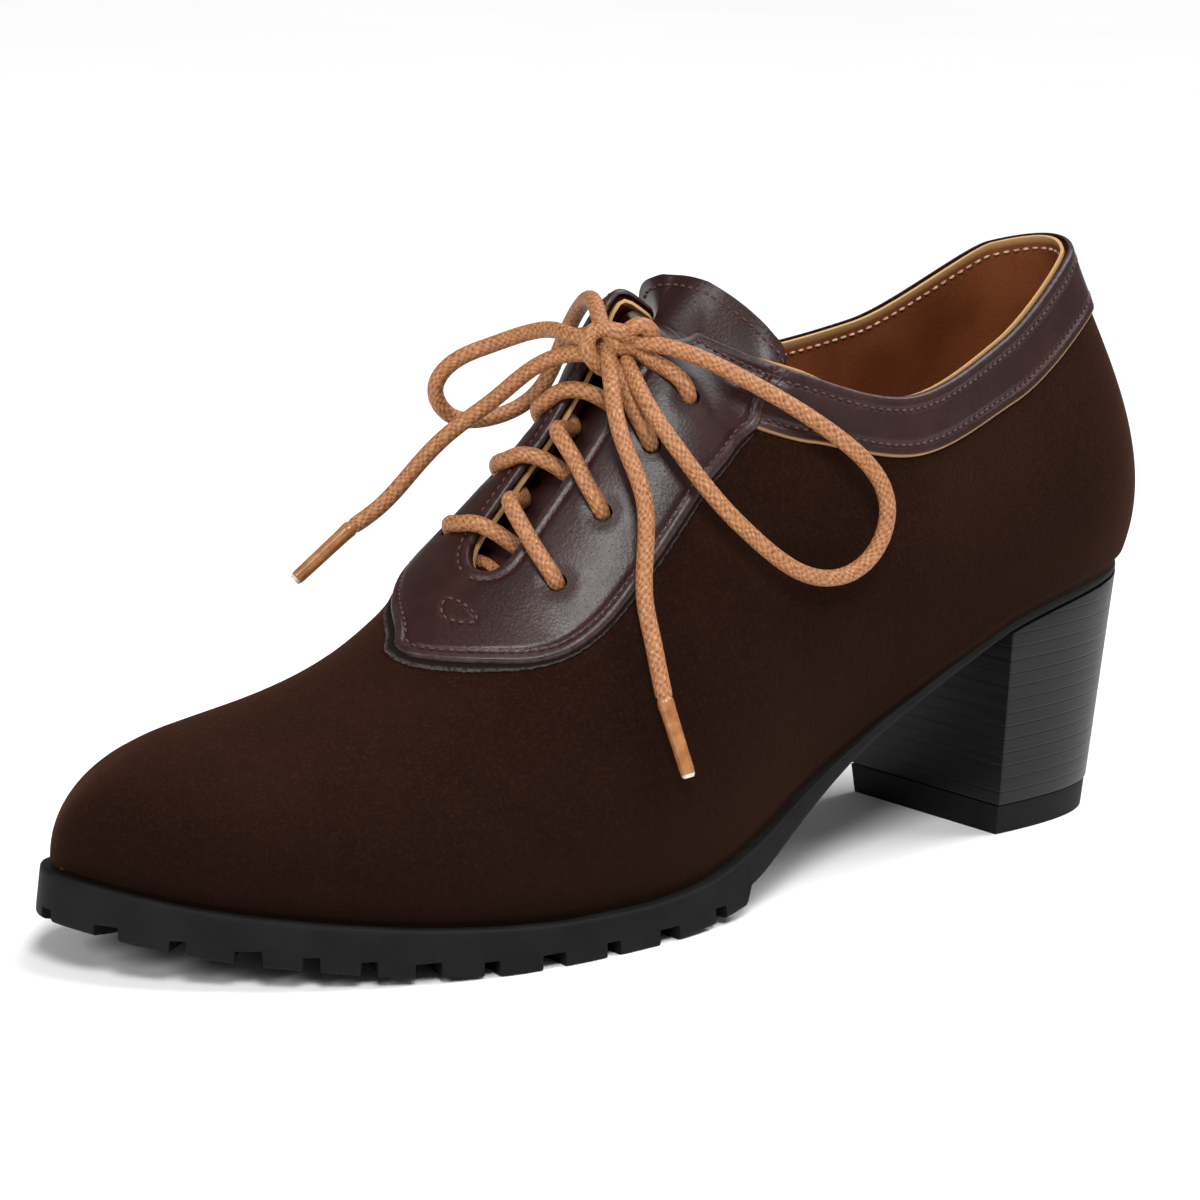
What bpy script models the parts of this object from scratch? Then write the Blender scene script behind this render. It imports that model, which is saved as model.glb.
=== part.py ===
"""Heeled lace-up oxford, left shoe. Toe towards -Y, outer side towards +X, floor at Z = 0."""
import functools
import math

import bmesh
import bpy
import numpy as np

# Sizes are in millimetres. Station s runs forward from the back of the heel seat.
MM = 0.001
CENTRE_X = -0.9535
CENTRE_S = 120.737

GAP = 0.3
WALL = 1.6
OVERLAY = 1.1
OVERLAY_GAP = 0.45

# Upper: one row a section, from the toe tip round to the back.
# seat_*: sole edge of the section (station, outer x, inner x).
# edge_*: its end at the ridge or opening (station, half offsets, heights; outer and inner side).
# bearing: way the end faces in plan, from forward (0) to back (180).
# flare, rise: angle off vertical and length of the lower handle. lean, reach_*: same for the upper one.
# cant_*: sideways tilt of the crown.
SECTION_COLUMNS = ("seat_s", "seat_out", "seat_in", "edge_s", "edge_out", "edge_in", "top_out", "top_in",
                   "bearing", "flare", "rise", "lean", "reach_out", "reach_in", "cant_out", "cant_in")
SECTIONS = (
    # toe tip, toe round, toe side, toe back
    (241.6, -10.8, -10.8, 214, 0, 0, 40.6, 40.6, 0, 4, 12, 90, 17, 17, 4, 4),
    (238.6, -0.6, -18.6, 214, 0, 0, 40.6, 40.6, 30, 4, 12, 90, 17, 17, 4, 4),
    (230, 11.4, -28.4, 214, 0, 0, 40.6, 40.6, 60, 6, 12.6, 90, 17, 17.5, 4, 4),
    (212, 25.5, -36.5, 214, 0, 0, 40.6, 40.6, 90, 7.6, 12.6, 90, 17.2, 19.2, 4.5, 4.5),
    # vamp, ball, shield point, slot end
    (194, 34.1, -40.5, 198, 0, 0, 43.9, 43.9, 90, 8, 13.4, 90, 17.9, 21, 6.2, 6.2),
    (176, 38.6, -41.5, 182, 0, 0, 48.7, 48.7, 90, 8, 15.8, 90, 17.9, 23.2, 10.5, 10.5),
    (159, 39.6, -38.5, 169, 0, 0, 55.5, 55.5, 90, 8.2, 19.6, 90, 16.8, 26, 16.8, 16.8),
    (145, 39, -34.3, 158, 0, 0, 64.3, 64.3, 90, 8.9, 25, 90, 15, 30, 22, 22),
    # facing, throat, top corner
    (128, 36.4, -29.2, 138.8, 0, 0, 84.6, 84.6, 90, 9.3, 27.6, 88, 18, 27, 15, 17),
    (108, 31.2, -25.6, 117, 0, 0, 106.6, 108.2, 90, 9.4, 29, 80, 22, 25, 8, 10),
    (90, 28.2, -24.6, 100, 21.2, 21, 99, 98.4, 90, 8.6, 27, 23, 19.5, 18.5, 0, 0),
    # topline dip, quarter, counter, back
    (68, 28.2, -25.2, 76.6, 27.4, 25.2, 92.8, 95.2, 92, 8.8, 22.7, 14, 20.5, 20.2, 0, 0),
    (40, 28.4, -27.2, 46.7, 21.8, 22.3, 100.4, 99.4, 100, 13, 21.4, 12, 18.7, 18.6, 0, 0),
    (12, 21.3, -21, 18, 10.8, 12, 115.6, 114.6, 140, 22.5, 25, 17, 18.5, 18, 0, 0),
    (0, 0, 0, 12.4, 0, 0, 116.9, 116.9, 180, 23.5, 23.3, 18, 18, 18, 0, 0),
)
TOE_BACK, SLOT_END, THROAT, TOP_CORNER, BACK = 3, 7, 9, 10, 14
RIDGE_SLOPE = 0.19
RIDGE_LINE = ((-10, 0), (158, 0), (182, -1.9), (214, -6.8), (250, -8))
SLOT_HALF = 4.3
SLOT_TOP_HALF = 5.3
SLOT_ROUND = 4.5

# Height of the sole edge: station, height.
SEAT_LINE = ((-10, 52.6), (0, 52.3), (12, 51.6), (30, 49.3), (45, 46), (60, 39.9), (75, 33.1), (90, 26.1),
             (105, 19.2), (120, 12.8), (135, 8.9), (150, 7.9), (165, 8), (180, 8.8), (195, 10.1),
             (210, 11.9), (225, 14.1), (244, 18.7))

# Sole. Lug bottom: station, height. Waist: station, thickness. Ledge: station, overhang past the upper.
LUG_BOTTOM = ((100, 8), (116, 4.2), (123, 2.5), (132, 1.1), (140, 0.3), (148, 0), (176, 0), (184, 0.4),
              (194, 1.2), (203, 2.2), (212, 3.4), (222, 4.8), (230, 6.2), (238, 7.9), (246, 9.8))
WAIST_THICK = ((-10, 2), (60, 2), (80, 2.2), (95, 3.4), (108, 4.8), (123, 6), (140, 6))
SOLE_LEDGE = ((-10, -0.5), (50, -0.5), (75, 0.4), (100, 1.4), (125, 1.8), (250, 1.8))
LUG_END = 123
WALL_FLARE = 1
# Notches: number from the toe, distance from it along the edge. Some numbers are broad.
NOTCH_RUN = ((0, 0), (3, 39.6), (6, 71.4), (8, 95.9), (11, 136.4))
NOTCH_BROAD = (1, 3, 6, 8, 10)
NOTCH_WIDE = 6.2
NOTCH_NARROW = 4.4
NOTCH_HEIGHT = 2.8
NOTCH_DEPTH = 9
NOTCH_TAPER = 0.7

INSOLE_THICK = 2
INSOLE_INSET = WALL + 0.5

# Heel: breast and back stations at the bottom, half width there, and the wear layer under it.
HEEL_BREAST_TOP = 47
HEEL_BREAST = 44
HEEL_BACK = 5
HEEL_TAPER = 0.785
TOP_PIECE = 6
TOP_PIECE_INSET = 0.3

TONGUE_THICK = 1.5
TONGUE_GAP = 0.8
TONGUE_ARCH = (0, 0.8, 0.9)
TONGUE_SHARES = ((6.6, 0.86), (7, 0.78), (8, 0.72), (9, 0.68))
# Free top: share of the half width, section and share where it leaves the opening, top edge (x, s, z).
TONGUE_TOP = (
    (0, 9.32, 1, 3.6, 106.1, 114.3), (0.09, 9.4, 1, 6, 105.3, 113.2), (0.2, 9.49, 1, 8.6, 103.9, 111.6),
    (0.34, 9.6, 1, 11.5, 102, 109.2),
    (0.52, 9.75, 1, 14.5, 99.6, 105.6), (0.74, 9.88, 0.985, 16.4, 97.8, 102), (1, 9.94, 0.92, 17.8, 98, 95),
)

# Shield overlay: section of its inner border, then section and share of height of its outer border.
STAY_ROWS = (
    (5.42, 5.42, 1), (5.5, 5.4, 0.945), (5.62, 5.45, 0.893), (5.9, 5.72, 0.82), (6.2, 6, 0.758),
    (6.55, 6.35, 0.7), (6.9, 6.7, 0.657), (7.25, 7.08, 0.643), (7.6, 7.5, 0.645), (8.05, 7.95, 0.66),
    (8.5, 8.45, 0.667), (8.85, 8.8, 0.68), (9.25, 9.06, 0.7), (9.62, 9.26, 0.719), (9.96, 9.45, 0.735),
)
# Collar band: section of its top border, then section and share of height of its lower border.
BAND_ROWS = (
    (9.99, 9.49, 0.738), (10.2, 9.8, 0.765), (10.5, 10.2, 0.785), (11, 10.9, 0.8), (11.5, 11.45, 0.79),
    (12.2, 12.2, 0.765), (13, 13, 0.775), (14, 14, 0.78),
)
# Lace holes: section and share of height, from the lowest pair up.
LACE_HOLES = ((7.38, 0.77), (7.9, 0.79), (8.34, 0.79), (8.72, 0.8))
HOLE_RADIUS = 1.9
HOLE_LENGTH = 9

LACE_RADIUS = 1.6
LACE_STEP = 6.4
LACE_LIFT = OVERLAY_GAP + OVERLAY + LACE_RADIUS + 0.5
BAR_RISE = 0.1
BAR_DIP = 2.9
TIP_RADIUS = 1.7
TIP_LENGTH = 14.5

# Bow: knot, ways out of it, and routes (x, s, z) of loops and ends from there.
KNOT = (2.4, 128.2, 105.8)
KNOT_HALF = (6, 4.5, 4.5)
KNOT_CLEAR = 0.85
KNOT_LEAVE = 4
LOOP_OUTER_WAYS = ((1, -0.15, 0.35), (0.62, 0.62, -0.62))
LOOP_OUTER = ((14.5, 119.6, 103), (20.2, 112.2, 98.8), (26.4, 104.8, 93.5), (31, 96.4, 87), (33.8, 90.6, 81),
              (35, 87.8, 74.8), (35, 88.6, 68.4), (34.6, 92.4, 63.6), (34, 98.2, 61.4), (33.2, 104.2, 62),
              (32.2, 110.6, 65.2), (30.2, 116.6, 70.4), (27.2, 122.4, 77), (22.6, 127, 85), (16, 130, 94))
LOOP_INNER_WAYS = ((-1, 0.25, 0.3), (-0.6, -0.3, 0.85))
LOOP_INNER = ((-14, 129.4, 107.4), (-21.4, 132, 104), (-28, 137, 98.8), (-31.5, 142, 94), (-31.5, 142.2, 89.8),
              (-30, 137, 88.2), (-28.8, 129, 88.8), (-28, 122, 91.6), (-25.5, 119, 99), (-20, 119.4, 106.6),
              (-13, 121.8, 110.4))
END_OUTER_WAY = (-0.05, 0.75, -0.65)
END_OUTER = ((7.6, 137, 95.4), (16, 136, 87.6), (21.6, 135.8, 78.4), (24.6, 137.8, 68), (27, 139.6, 60.6),
             (30.2, 140.2, 53.6), (32.4, 140.6, 48.8), (34.6, 140.8, 43.6))
END_OUTER_TIP = (40, 139.4, 30.2)
END_INNER_WAY = (-0.75, 0.65, -0.2)
END_INNER = ((-9.4, 134.6, 100.6), (-20, 139, 91.4), (-26, 145.6, 84.6), (-30.5, 150.6, 77.4), (-34, 156, 70.4),
             (-36.4, 160.8, 66.6))
END_INNER_TIP = (-41, 170.4, 57)
LEAD_OUTER_WAY = (1, 0.05, -0.35)
LEAD_INNER_WAY = (-0.88, -0.4, 0.25)

COLUMN_STEPS = (3, 3, 3, 2, 2, 2, 3, 6, 4, 6, 3, 4, 4, 4)
UPPER_ROWS = (0, 0.08, 0.18, 0.3, 0.42, 0.53, 0.63, 0.73, 0.82, 0.91, 1)

SUEDE = ("suede", (0.030, 0.013, 0.009), 0.95)
LEATHER = ("dark_leather", (0.030, 0.011, 0.011), 0.38)
LINING = ("tan_leather", (0.42, 0.19, 0.07), 0.6)
RUBBER = ("black_rubber", (0.018, 0.018, 0.019), 0.7)
STACK = ("heel_stack", (0.012, 0.011, 0.011), 0.42)
LACE = ("lace_cord", (0.36, 0.13, 0.035), 0.65)
TIP = ("lace_tip", (0.20, 0.075, 0.03), 0.3)


def run_through(knots, values, at):
    """Smooth run through values at knots that never swings past them."""
    knots = np.asarray(knots, float)
    values = np.asarray(values, float)
    step = np.diff(knots)
    slope = (np.diff(values, axis=0).T / step).T
    before, after = slope[:-1], slope[1:]
    w1 = (2 * step[1:] + step[:-1]).reshape((-1,) + (1,) * (values.ndim - 1))
    w2 = (step[1:] + 2 * step[:-1]).reshape(w1.shape)
    same = before * after > 0
    safe_before = np.where(same, before, 1)
    safe_after = np.where(same, after, 1)
    grade = np.zeros_like(values)
    grade[1:-1] = np.where(same, (w1 + w2) / (w1 / safe_before + w2 / safe_after), 0)
    grade[0] = 1.5 * slope[0] - 0.5 * grade[1]
    grade[-1] = 1.5 * slope[-1] - 0.5 * grade[-2]
    at = np.clip(np.asarray(at, float), knots[0], knots[-1])
    i = np.clip(np.searchsorted(knots, at, side="right") - 1, 0, len(step) - 1)
    shape = at.shape + (1,) * (values.ndim - 1)
    h = step[i].reshape(shape)
    f = ((at - knots[i]) / step[i]).reshape(shape)
    start = values[i] * (2 * f**3 - 3 * f**2 + 1) + grade[i] * h * (f**3 - 2 * f**2 + f)
    end = values[i + 1] * (3 * f**2 - 2 * f**3) + grade[i + 1] * h * (f**3 - f**2)
    return start + end


def table_at(table, at):
    """Read the second column of a two-column table at values of the first."""
    rows = np.asarray(table, float)
    return run_through(rows[:, 0], rows[:, 1], at)


def round_curve(points, at):
    """Closed smooth curve through points, read at a running point number."""
    points = np.asarray(points, float)
    count = len(points)
    matrix = np.zeros((count, count))
    bend = np.zeros_like(points)
    for i in range(count):
        after = (i + 1) % count
        matrix[i, i] = 4
        matrix[i, i - 1] = 1
        matrix[i, after] = 1
        bend[i] = 6 * (points[i - 1] - 2 * points[i] + points[after])
    second = np.linalg.solve(matrix, bend)
    at = np.asarray(at, float) % count
    i = at.astype(int) % count
    j = (i + 1) % count
    f = (at - np.floor(at))[..., None]
    g = 1 - f
    return g * points[i] + f * points[j] + ((g**3 - g) * second[i] + (f**3 - f) * second[j]) / 6


def column(name):
    """One named column of the section table."""
    return np.array([row[SECTION_COLUMNS.index(name)] for row in SECTIONS], float)


def seat_outline():
    """Points of the sole edge, from the toe tip down the outer side and back up the inner one."""
    outer = np.stack([column("seat_out"), column("seat_s")], axis=1)
    inner = np.stack([column("seat_in"), column("seat_s")], axis=1)
    return np.vstack([outer, inner[-2:0:-1]])


def seat(section, side, outset=0):
    """Plan points (x, s) of the sole edge, moved outwards, with the outward direction."""
    outline = seat_outline()
    at = np.asarray(section, float) * side
    point = round_curve(outline, at)
    ahead = round_curve(outline, at + 0.001) - round_curve(outline, at - 0.001)
    ahead = ahead / np.linalg.norm(ahead, axis=-1, keepdims=True)
    outward = np.stack([-ahead[..., 1], ahead[..., 0]], axis=-1)
    return point + np.asarray(outset, float)[..., None] * outward, outward


def section_values(section, side):
    """Named values of the sections on one side; both ends run on into the other side without a corner."""
    way = "_out" if side > 0 else "_in"
    rows = {name: column(name) for name in ("edge_s", "bearing", "flare", "rise", "lean")}
    for name in ("edge", "top", "reach", "cant"):
        rows[name] = column(name + way)
    for name, row in rows.items():
        before, after = row[1], row[-2]
        if name == "edge":
            before, after = -before, -after
        if name == "bearing":
            before, after = -before, 360 - after
        rows[name] = run_through(np.arange(-1, BACK + 2), np.concatenate([[before], row, [after]]), section)
    return rows


def closed_last(section, share, side):
    """Points (x, s, z) of the upper's outer face before the lace slot is cut. side is 1 outside, -1 inside."""
    section, share = np.broadcast_arrays(np.asarray(section, float), np.asarray(share, float))
    row = section_values(section, side)
    flare, lean, bearing = np.radians(row["flare"]), np.radians(row["lean"]), np.radians(row["bearing"])
    foot, outward = seat(section, side)
    start = np.concatenate([foot, table_at(SEAT_LINE, foot[..., 1])[..., None]], axis=-1)
    low = np.concatenate([outward * np.sin(flare)[..., None], np.cos(flare)[..., None]], axis=-1)
    end = np.stack([table_at(RIDGE_LINE, row["edge_s"]) + side * row["edge"], row["edge_s"], row["top"]], axis=-1)
    face_x = side * np.sin(bearing)
    face_s = np.cos(bearing)
    tilt = np.where(section < SLOT_END, RIDGE_SLOPE * face_s, 0) + np.tan(np.radians(row["cant"])) * face_x
    high = np.stack([face_x * np.sin(lean), face_s * np.sin(lean), -np.cos(lean) - tilt * np.sin(lean)], axis=-1)
    handle_1 = start + row["rise"][..., None] * low
    handle_2 = end + row["reach"][..., None] * high
    v = share[..., None]
    g = 1 - v
    return g**3 * start + 3 * g**2 * v * handle_1 + 3 * g * v**2 * handle_2 + v**3 * end


def slot_half(section):
    """Half width of the lace slot, round at its lower end."""
    edge_s = section_values(section, 1)["edge_s"]
    opening = np.clip((column("edge_s")[SLOT_END] - edge_s) / SLOT_ROUND, 0, 1)
    width = SLOT_HALF + (SLOT_TOP_HALF - SLOT_HALF) * (section - SLOT_END) / (THROAT - SLOT_END)
    return width * np.sqrt(1 - (1 - opening)**2)


@functools.lru_cache(maxsize=None)
def slot_edge(side):
    """Sections past the slot's lower end, and the share of their height at which the slot's edge lies."""
    sections = SLOT_END + (TOP_CORNER - SLOT_END) * np.linspace(0, 1, 240)**2
    levels = np.linspace(0.7, 1, 121)
    across = np.abs(closed_last(sections[:, None], levels[None, :], side)[..., 0])
    half = slot_half(sections)
    shares = [np.interp(-half[i], -across[i], levels) for i in range(len(sections))]
    return sections, np.array(shares)


def skin(section, share, side, height=0, slot=True):
    """Points at a height over the upper's outer face; a negative height lies inside it.

    Share 1 is the ridge or the opening's edge, or the middle line where the slot is left out.
    """
    section = np.asarray(section, float)
    end = np.interp(section, *slot_edge(side)) if slot else 1
    section, level = np.broadcast_arrays(section, share * end)
    step = 0.004
    below = np.minimum(level, 0.98)
    along = closed_last(section + step, below, side) - closed_last(section - step, below, side)
    up = closed_last(section, np.minimum(level + step, 1), side)
    up = up - closed_last(section, np.maximum(level - step, 0), side)
    normal = -side * np.cross(along, up)
    normal = normal / np.linalg.norm(normal, axis=-1, keepdims=True)
    return closed_last(section, level, side) + height * normal


def place(points):
    """World place in metres of points (x, s, z)."""
    points = np.asarray(points, float)
    return np.stack([points[..., 0] - CENTRE_X, CENTRE_S - points[..., 1], points[..., 2]], axis=-1) * MM


def material(look):
    """Plain material from a name, a colour and a roughness."""
    name, colour, roughness = look
    made = bpy.data.materials.get(name)
    if made is None:
        made = bpy.data.materials.new(name)
        made.use_nodes = True
        surface = made.node_tree.nodes["Principled BSDF"]
        surface.inputs["Base Color"].default_value = (*colour, 1)
        surface.inputs["Roughness"].default_value = roughness
        surface.inputs["Metallic"].default_value = 0
    return made


def body(name, points, faces, look):
    """Closed mesh object from points (x, s, z) in millimetres."""
    mesh = bpy.data.meshes.new(name)
    built = bmesh.new()
    corners = [built.verts.new(point) for point in place(points)]
    for face in faces:
        if len(set(face)) > 2:
            built.faces.new([corners[i] for i in face])
    bmesh.ops.remove_doubles(built, verts=built.verts, dist=0.00001)
    bmesh.ops.dissolve_degenerate(built, edges=built.edges, dist=0.000005)
    bmesh.ops.recalc_face_normals(built, faces=built.faces)
    built.to_mesh(mesh)
    built.free()
    made = bpy.data.objects.new(name, mesh)
    mesh.materials.append(material(look))
    bpy.context.collection.objects.link(made)
    return made


def shell(name, outer, inner, look, closed=False, joined=None):
    """Body between two grids of points, columns by rows. joined marks columns whose last row has no rim."""
    columns, rows = outer.shape[:2]
    points = np.concatenate([outer.reshape(-1, 3), inner.reshape(-1, 3)])
    first_inner = columns * rows
    if joined is None:
        joined = np.zeros(columns, bool)
    faces = []
    for i in range(columns if closed else columns - 1):
        k = (i + 1) % columns
        for j in range(rows - 1):
            quad = (i * rows + j, k * rows + j, k * rows + j + 1, i * rows + j + 1)
            faces.append(quad)
            faces.append(tuple(first_inner + corner for corner in reversed(quad)))
        rims = [0] if joined[i] and joined[k] else [0, rows - 1]
        for j in rims:
            faces.append((i * rows + j, k * rows + j, first_inner + k * rows + j, first_inner + i * rows + j))
    if not closed:
        for i in (0, columns - 1):
            for j in range(rows - 1):
                a = i * rows + j
                faces.append((a, a + 1, first_inner + a + 1, first_inner + a))
    return body(name, points, faces, look)


def loft(name, loops, look):
    """Body through loops of points, with both ends closed."""
    loops = np.asarray(loops, float)
    count, size = loops.shape[:2]
    faces = []
    for i in range(count - 1):
        for j in range(size):
            k = (j + 1) % size
            faces.append((i * size + j, i * size + k, (i + 1) * size + k, (i + 1) * size + j))
    for i in (0, count - 1):
        if np.ptp(loops[i][:, 0]) > 0.1:
            faces.append(tuple(range(i * size, i * size + size)))
    return body(name, loops.reshape(-1, 3), faces, look)


def tube(name, points, radius, look):
    """Round cord through points (x, s, z)."""
    curve = bpy.data.curves.new(name, "CURVE")
    curve.dimensions = "3D"
    curve.bevel_depth = radius * MM
    curve.bevel_resolution = 2
    curve.use_fill_caps = True
    line = curve.splines.new("POLY")
    line.points.add(len(points) - 1)
    for knot, point in zip(line.points, place(points)):
        knot.co = (*point, 1)
    made = bpy.data.objects.new(name, curve)
    curve.materials.append(material(look))
    bpy.context.collection.objects.link(made)
    return made


def smooth_route(points, step):
    """Even points on a smooth open curve through a short route."""
    points = np.asarray(points, float)
    knots = np.concatenate([[0], np.cumsum(np.linalg.norm(np.diff(points, axis=0), axis=1))])
    count = len(points)
    matrix = np.eye(count)
    bend = np.zeros_like(points)
    gap = np.diff(knots)
    for i in range(1, count - 1):
        matrix[i, i - 1:i + 2] = (gap[i - 1], 2 * (gap[i - 1] + gap[i]), gap[i])
        bend[i] = 6 * ((points[i + 1] - points[i]) / gap[i] - (points[i] - points[i - 1]) / gap[i - 1])
    second = np.linalg.solve(matrix, bend)

    def at(length):
        i = np.clip(np.searchsorted(knots, length, side="right") - 1, 0, count - 2)
        h = gap[i][:, None]
        f = ((length - knots[i]) / gap[i])[:, None]
        g = 1 - f
        swing = ((g**3 - g) * second[i] + (f**3 - f) * second[i + 1]) * h**2 / 6
        return g * points[i] + f * points[i + 1] + swing

    fine = at(np.linspace(0, knots[-1], 400))
    length = np.concatenate([[0], np.cumsum(np.linalg.norm(np.diff(fine, axis=0), axis=1))])
    even = np.linspace(0, length[-1], max(3, int(round(length[-1] / step)) + 1))
    return np.stack([np.interp(even, length, fine[:, axis]) for axis in range(3)], axis=1)


def cut(target, cutter):
    """Cut one object with another that stays as a hidden tool."""
    cutter.hide_render = True
    cutter.display_type = "WIRE"
    step = target.modifiers.new("cut", "BOOLEAN")
    step.operation = "DIFFERENCE"
    step.solver = "EXACT"
    step.object = cutter


def section_list():
    """Section numbers of the upper's columns on one side, closer together round the slot's end."""
    parts = []
    for i, count in enumerate(COLUMN_STEPS):
        share = np.arange(count) / count
        parts.append(i + (share**2 if i == SLOT_END else share))
    return np.append(np.concatenate(parts), BACK)


def both_sides(sections, make):
    """Columns of points from the toe tip down the outer side and back up the inner one."""
    outer = make(sections, 1)
    inner = make(sections[1:-1], -1)
    return np.concatenate([outer, inner[::-1]])


def share_ridge(grid, sections):
    """Give the two sides of the closed vamp the same points on the ridge and one point at the toe's top."""
    count = len(sections)
    for i in range(1, count - 1):
        if sections[i] <= SLOT_END:
            twin = len(grid) - i
            middle = (grid[i, -1] + grid[twin, -1]) / 2
            grid[i, -1] = middle
            grid[twin, -1] = middle
    toe = int(np.searchsorted(sections, TOE_BACK))
    for i in range(toe):
        grid[i, -1] = grid[toe, -1]
        grid[-i, -1] = grid[toe, -1]
    return grid


def make_upper():
    """Hollow shell with a real wall, open at collar, slot and underneath."""
    sections = section_list()
    rows = np.array(UPPER_ROWS)

    def outer_face(at, side):
        return skin(at[:, None], rows[None, :], side)

    def inner_face(at, side):
        grid = skin(at[:, None], rows[None, :], side, -WALL)
        foot, _ = seat(at, side, np.full(len(at), -WALL))
        grid[:, 0, :2] = foot
        grid[:, 0, 2] = table_at(SEAT_LINE, foot[:, 1])
        return grid

    outer = share_ridge(both_sides(sections, outer_face), sections)
    inner = share_ridge(both_sides(sections, inner_face), sections)
    around = np.concatenate([sections, sections[-2:0:-1]])
    return shell("upper", outer, inner, SUEDE, closed=True, joined=around <= SLOT_END)


def overlay_grid(rows, numbers, spans, side, height):
    """Grid over the upper between two borders, from the outer border to the inner one."""
    table = run_through(np.arange(len(rows)), np.array(rows, float), numbers)
    border, rim, share = table[:, 0], table[:, 1], table[:, 2]
    mix = np.linspace(1, 0, spans + 1)[None, :]
    section = border[:, None] + (rim - border)[:, None] * mix
    level = 1 + (share[:, None] - 1) * mix
    return skin(section, level, side, height)


def make_eyestay():
    """Shield overlay in one piece, split by the slot above its lower end."""
    numbers = np.linspace(0, len(STAY_ROWS) - 1, 2 * len(STAY_ROWS) - 1)
    border = run_through(np.arange(len(STAY_ROWS)), np.array(STAY_ROWS, float), numbers)[:, 0]
    grids = []
    for height in (OVERLAY_GAP + OVERLAY, OVERLAY_GAP):
        outer = overlay_grid(STAY_ROWS, numbers, 5, 1, height)
        inner = overlay_grid(STAY_ROWS, numbers, 5, -1, height)
        for i, at in enumerate(border):
            if at <= SLOT_END:
                outer[i, -1] = (outer[i, -1] + inner[i, -1]) / 2
                inner[i, -1] = outer[i, -1]
        outer[0] = outer[0, -1]
        grids.append(np.concatenate([inner[:0:-1], outer]))
    around = np.concatenate([border[:0:-1], border])
    return shell("eyestay", grids[0], grids[1], LEATHER, joined=around <= SLOT_END)


def make_collar_band():
    """Band round the ankle opening, from the shield's outer side round the back to its inner side."""
    numbers = np.linspace(0, len(BAND_ROWS) - 1, 4 * len(BAND_ROWS) - 3)
    grids = []
    for height in (OVERLAY_GAP + OVERLAY, OVERLAY_GAP):
        outer = overlay_grid(BAND_ROWS, numbers, 3, 1, height)
        inner = overlay_grid(BAND_ROWS, numbers, 3, -1, height)
        grids.append(np.concatenate([outer, inner[-2::-1]]))
    return shell("collar_band", grids[0], grids[1], LEATHER)


def make_tongue():
    """Curved sheet under the slot, with a rounded top that stands over the throat."""
    low = section_list()
    low = low[(low > TONGUE_SHARES[0][0]) & (low < THROAT)]
    across, leave, level, top_x, top_s, top_z = np.array(TONGUE_TOP, float).T
    share = 1 + (table_at(TONGUE_SHARES, low)[:, None] - 1) * across
    climb = np.array([0.33, 0.67, 1])[:, None]
    section = np.concatenate([np.repeat(low[:, None], len(across), axis=1), low[-1] + (leave - low[-1]) * climb])
    share = np.concatenate([share, share[-1] + (level - share[-1]) * climb])
    reach = np.array([0.25, 0.5, 0.75, 0.92, 1])[:, None, None]
    arch = np.concatenate([slot_half(section[:, 0]) / SLOT_HALF, np.ones(len(reach))])
    face = WALL + TONGUE_GAP
    grids = []
    for depth in (face, face + TONGUE_THICK):
        halves = []
        for side in (1, -1):
            half = skin(section, share, side, -depth)
            top = np.stack([side * top_x, top_s, top_z], axis=1)
            top = top + half[-1] - skin(section[-1], share[-1], side, -face)
            halves.append(np.concatenate([half, half[-1] + (top - half[-1]) * reach]))
        middle = (halves[0][:, :1] + halves[1][:, :1]) / 2
        middle = middle + arch[:, None, None] * np.array(TONGUE_ARCH)
        grids.append(np.concatenate([halves[1][:, ::-1], middle, halves[0]], axis=1))
    return shell("tongue", grids[0], grids[1], LEATHER)


def plate_loops(sections, outset_top, outset_low, top, low):
    """Loops of a plate that follows the sole edge: outer top, outer low, inner low, inner top."""
    loops = []
    for at in sections:
        loop = []
        down = ((outset_top, top), (outset_low, low))
        for side, levels in ((1, down), (-1, down[::-1])):
            for outset, level in levels:
                foot, _ = seat(at, side)
                moved, _ = seat(at, side, outset(foot[1]))
                loop.append((moved[0], moved[1], level(moved[1])))
        loops.append(loop)
    return loops


def sole_top(s):
    return table_at(SEAT_LINE, s) - GAP


def waist_low(s):
    return sole_top(s) - table_at(WAIST_THICK, s)


def lug_low(s):
    return table_at(LUG_BOTTOM, s)


def section_at_station(station):
    """Section number whose sole edge lies at a station, behind the toe."""
    numbers = np.linspace(TOE_BACK, BACK, 2201)
    stations = seat(numbers, 1)[0][:, 1]
    return float(np.interp(-station, -stations, numbers))


def notch_places(last):
    """Side, section and width of each notch, from the toe back to the last section on both sides."""
    places = []
    for side in (1, -1):
        sections = np.linspace(0, last, 601)
        edge = seat(sections, side, np.full(601, 2.5))[0]
        run = np.concatenate([[0], np.cumsum(np.linalg.norm(np.diff(edge, axis=0), axis=1))])
        for number in range(0 if side > 0 else 1, NOTCH_RUN[-1][0] + 1):
            width = NOTCH_WIDE if number in NOTCH_BROAD else NOTCH_NARROW
            distance = float(table_at(NOTCH_RUN, number))
            if distance < run[-1] - width:
                places.append((side, float(np.interp(distance, run, sections)), width))
    return places


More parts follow.
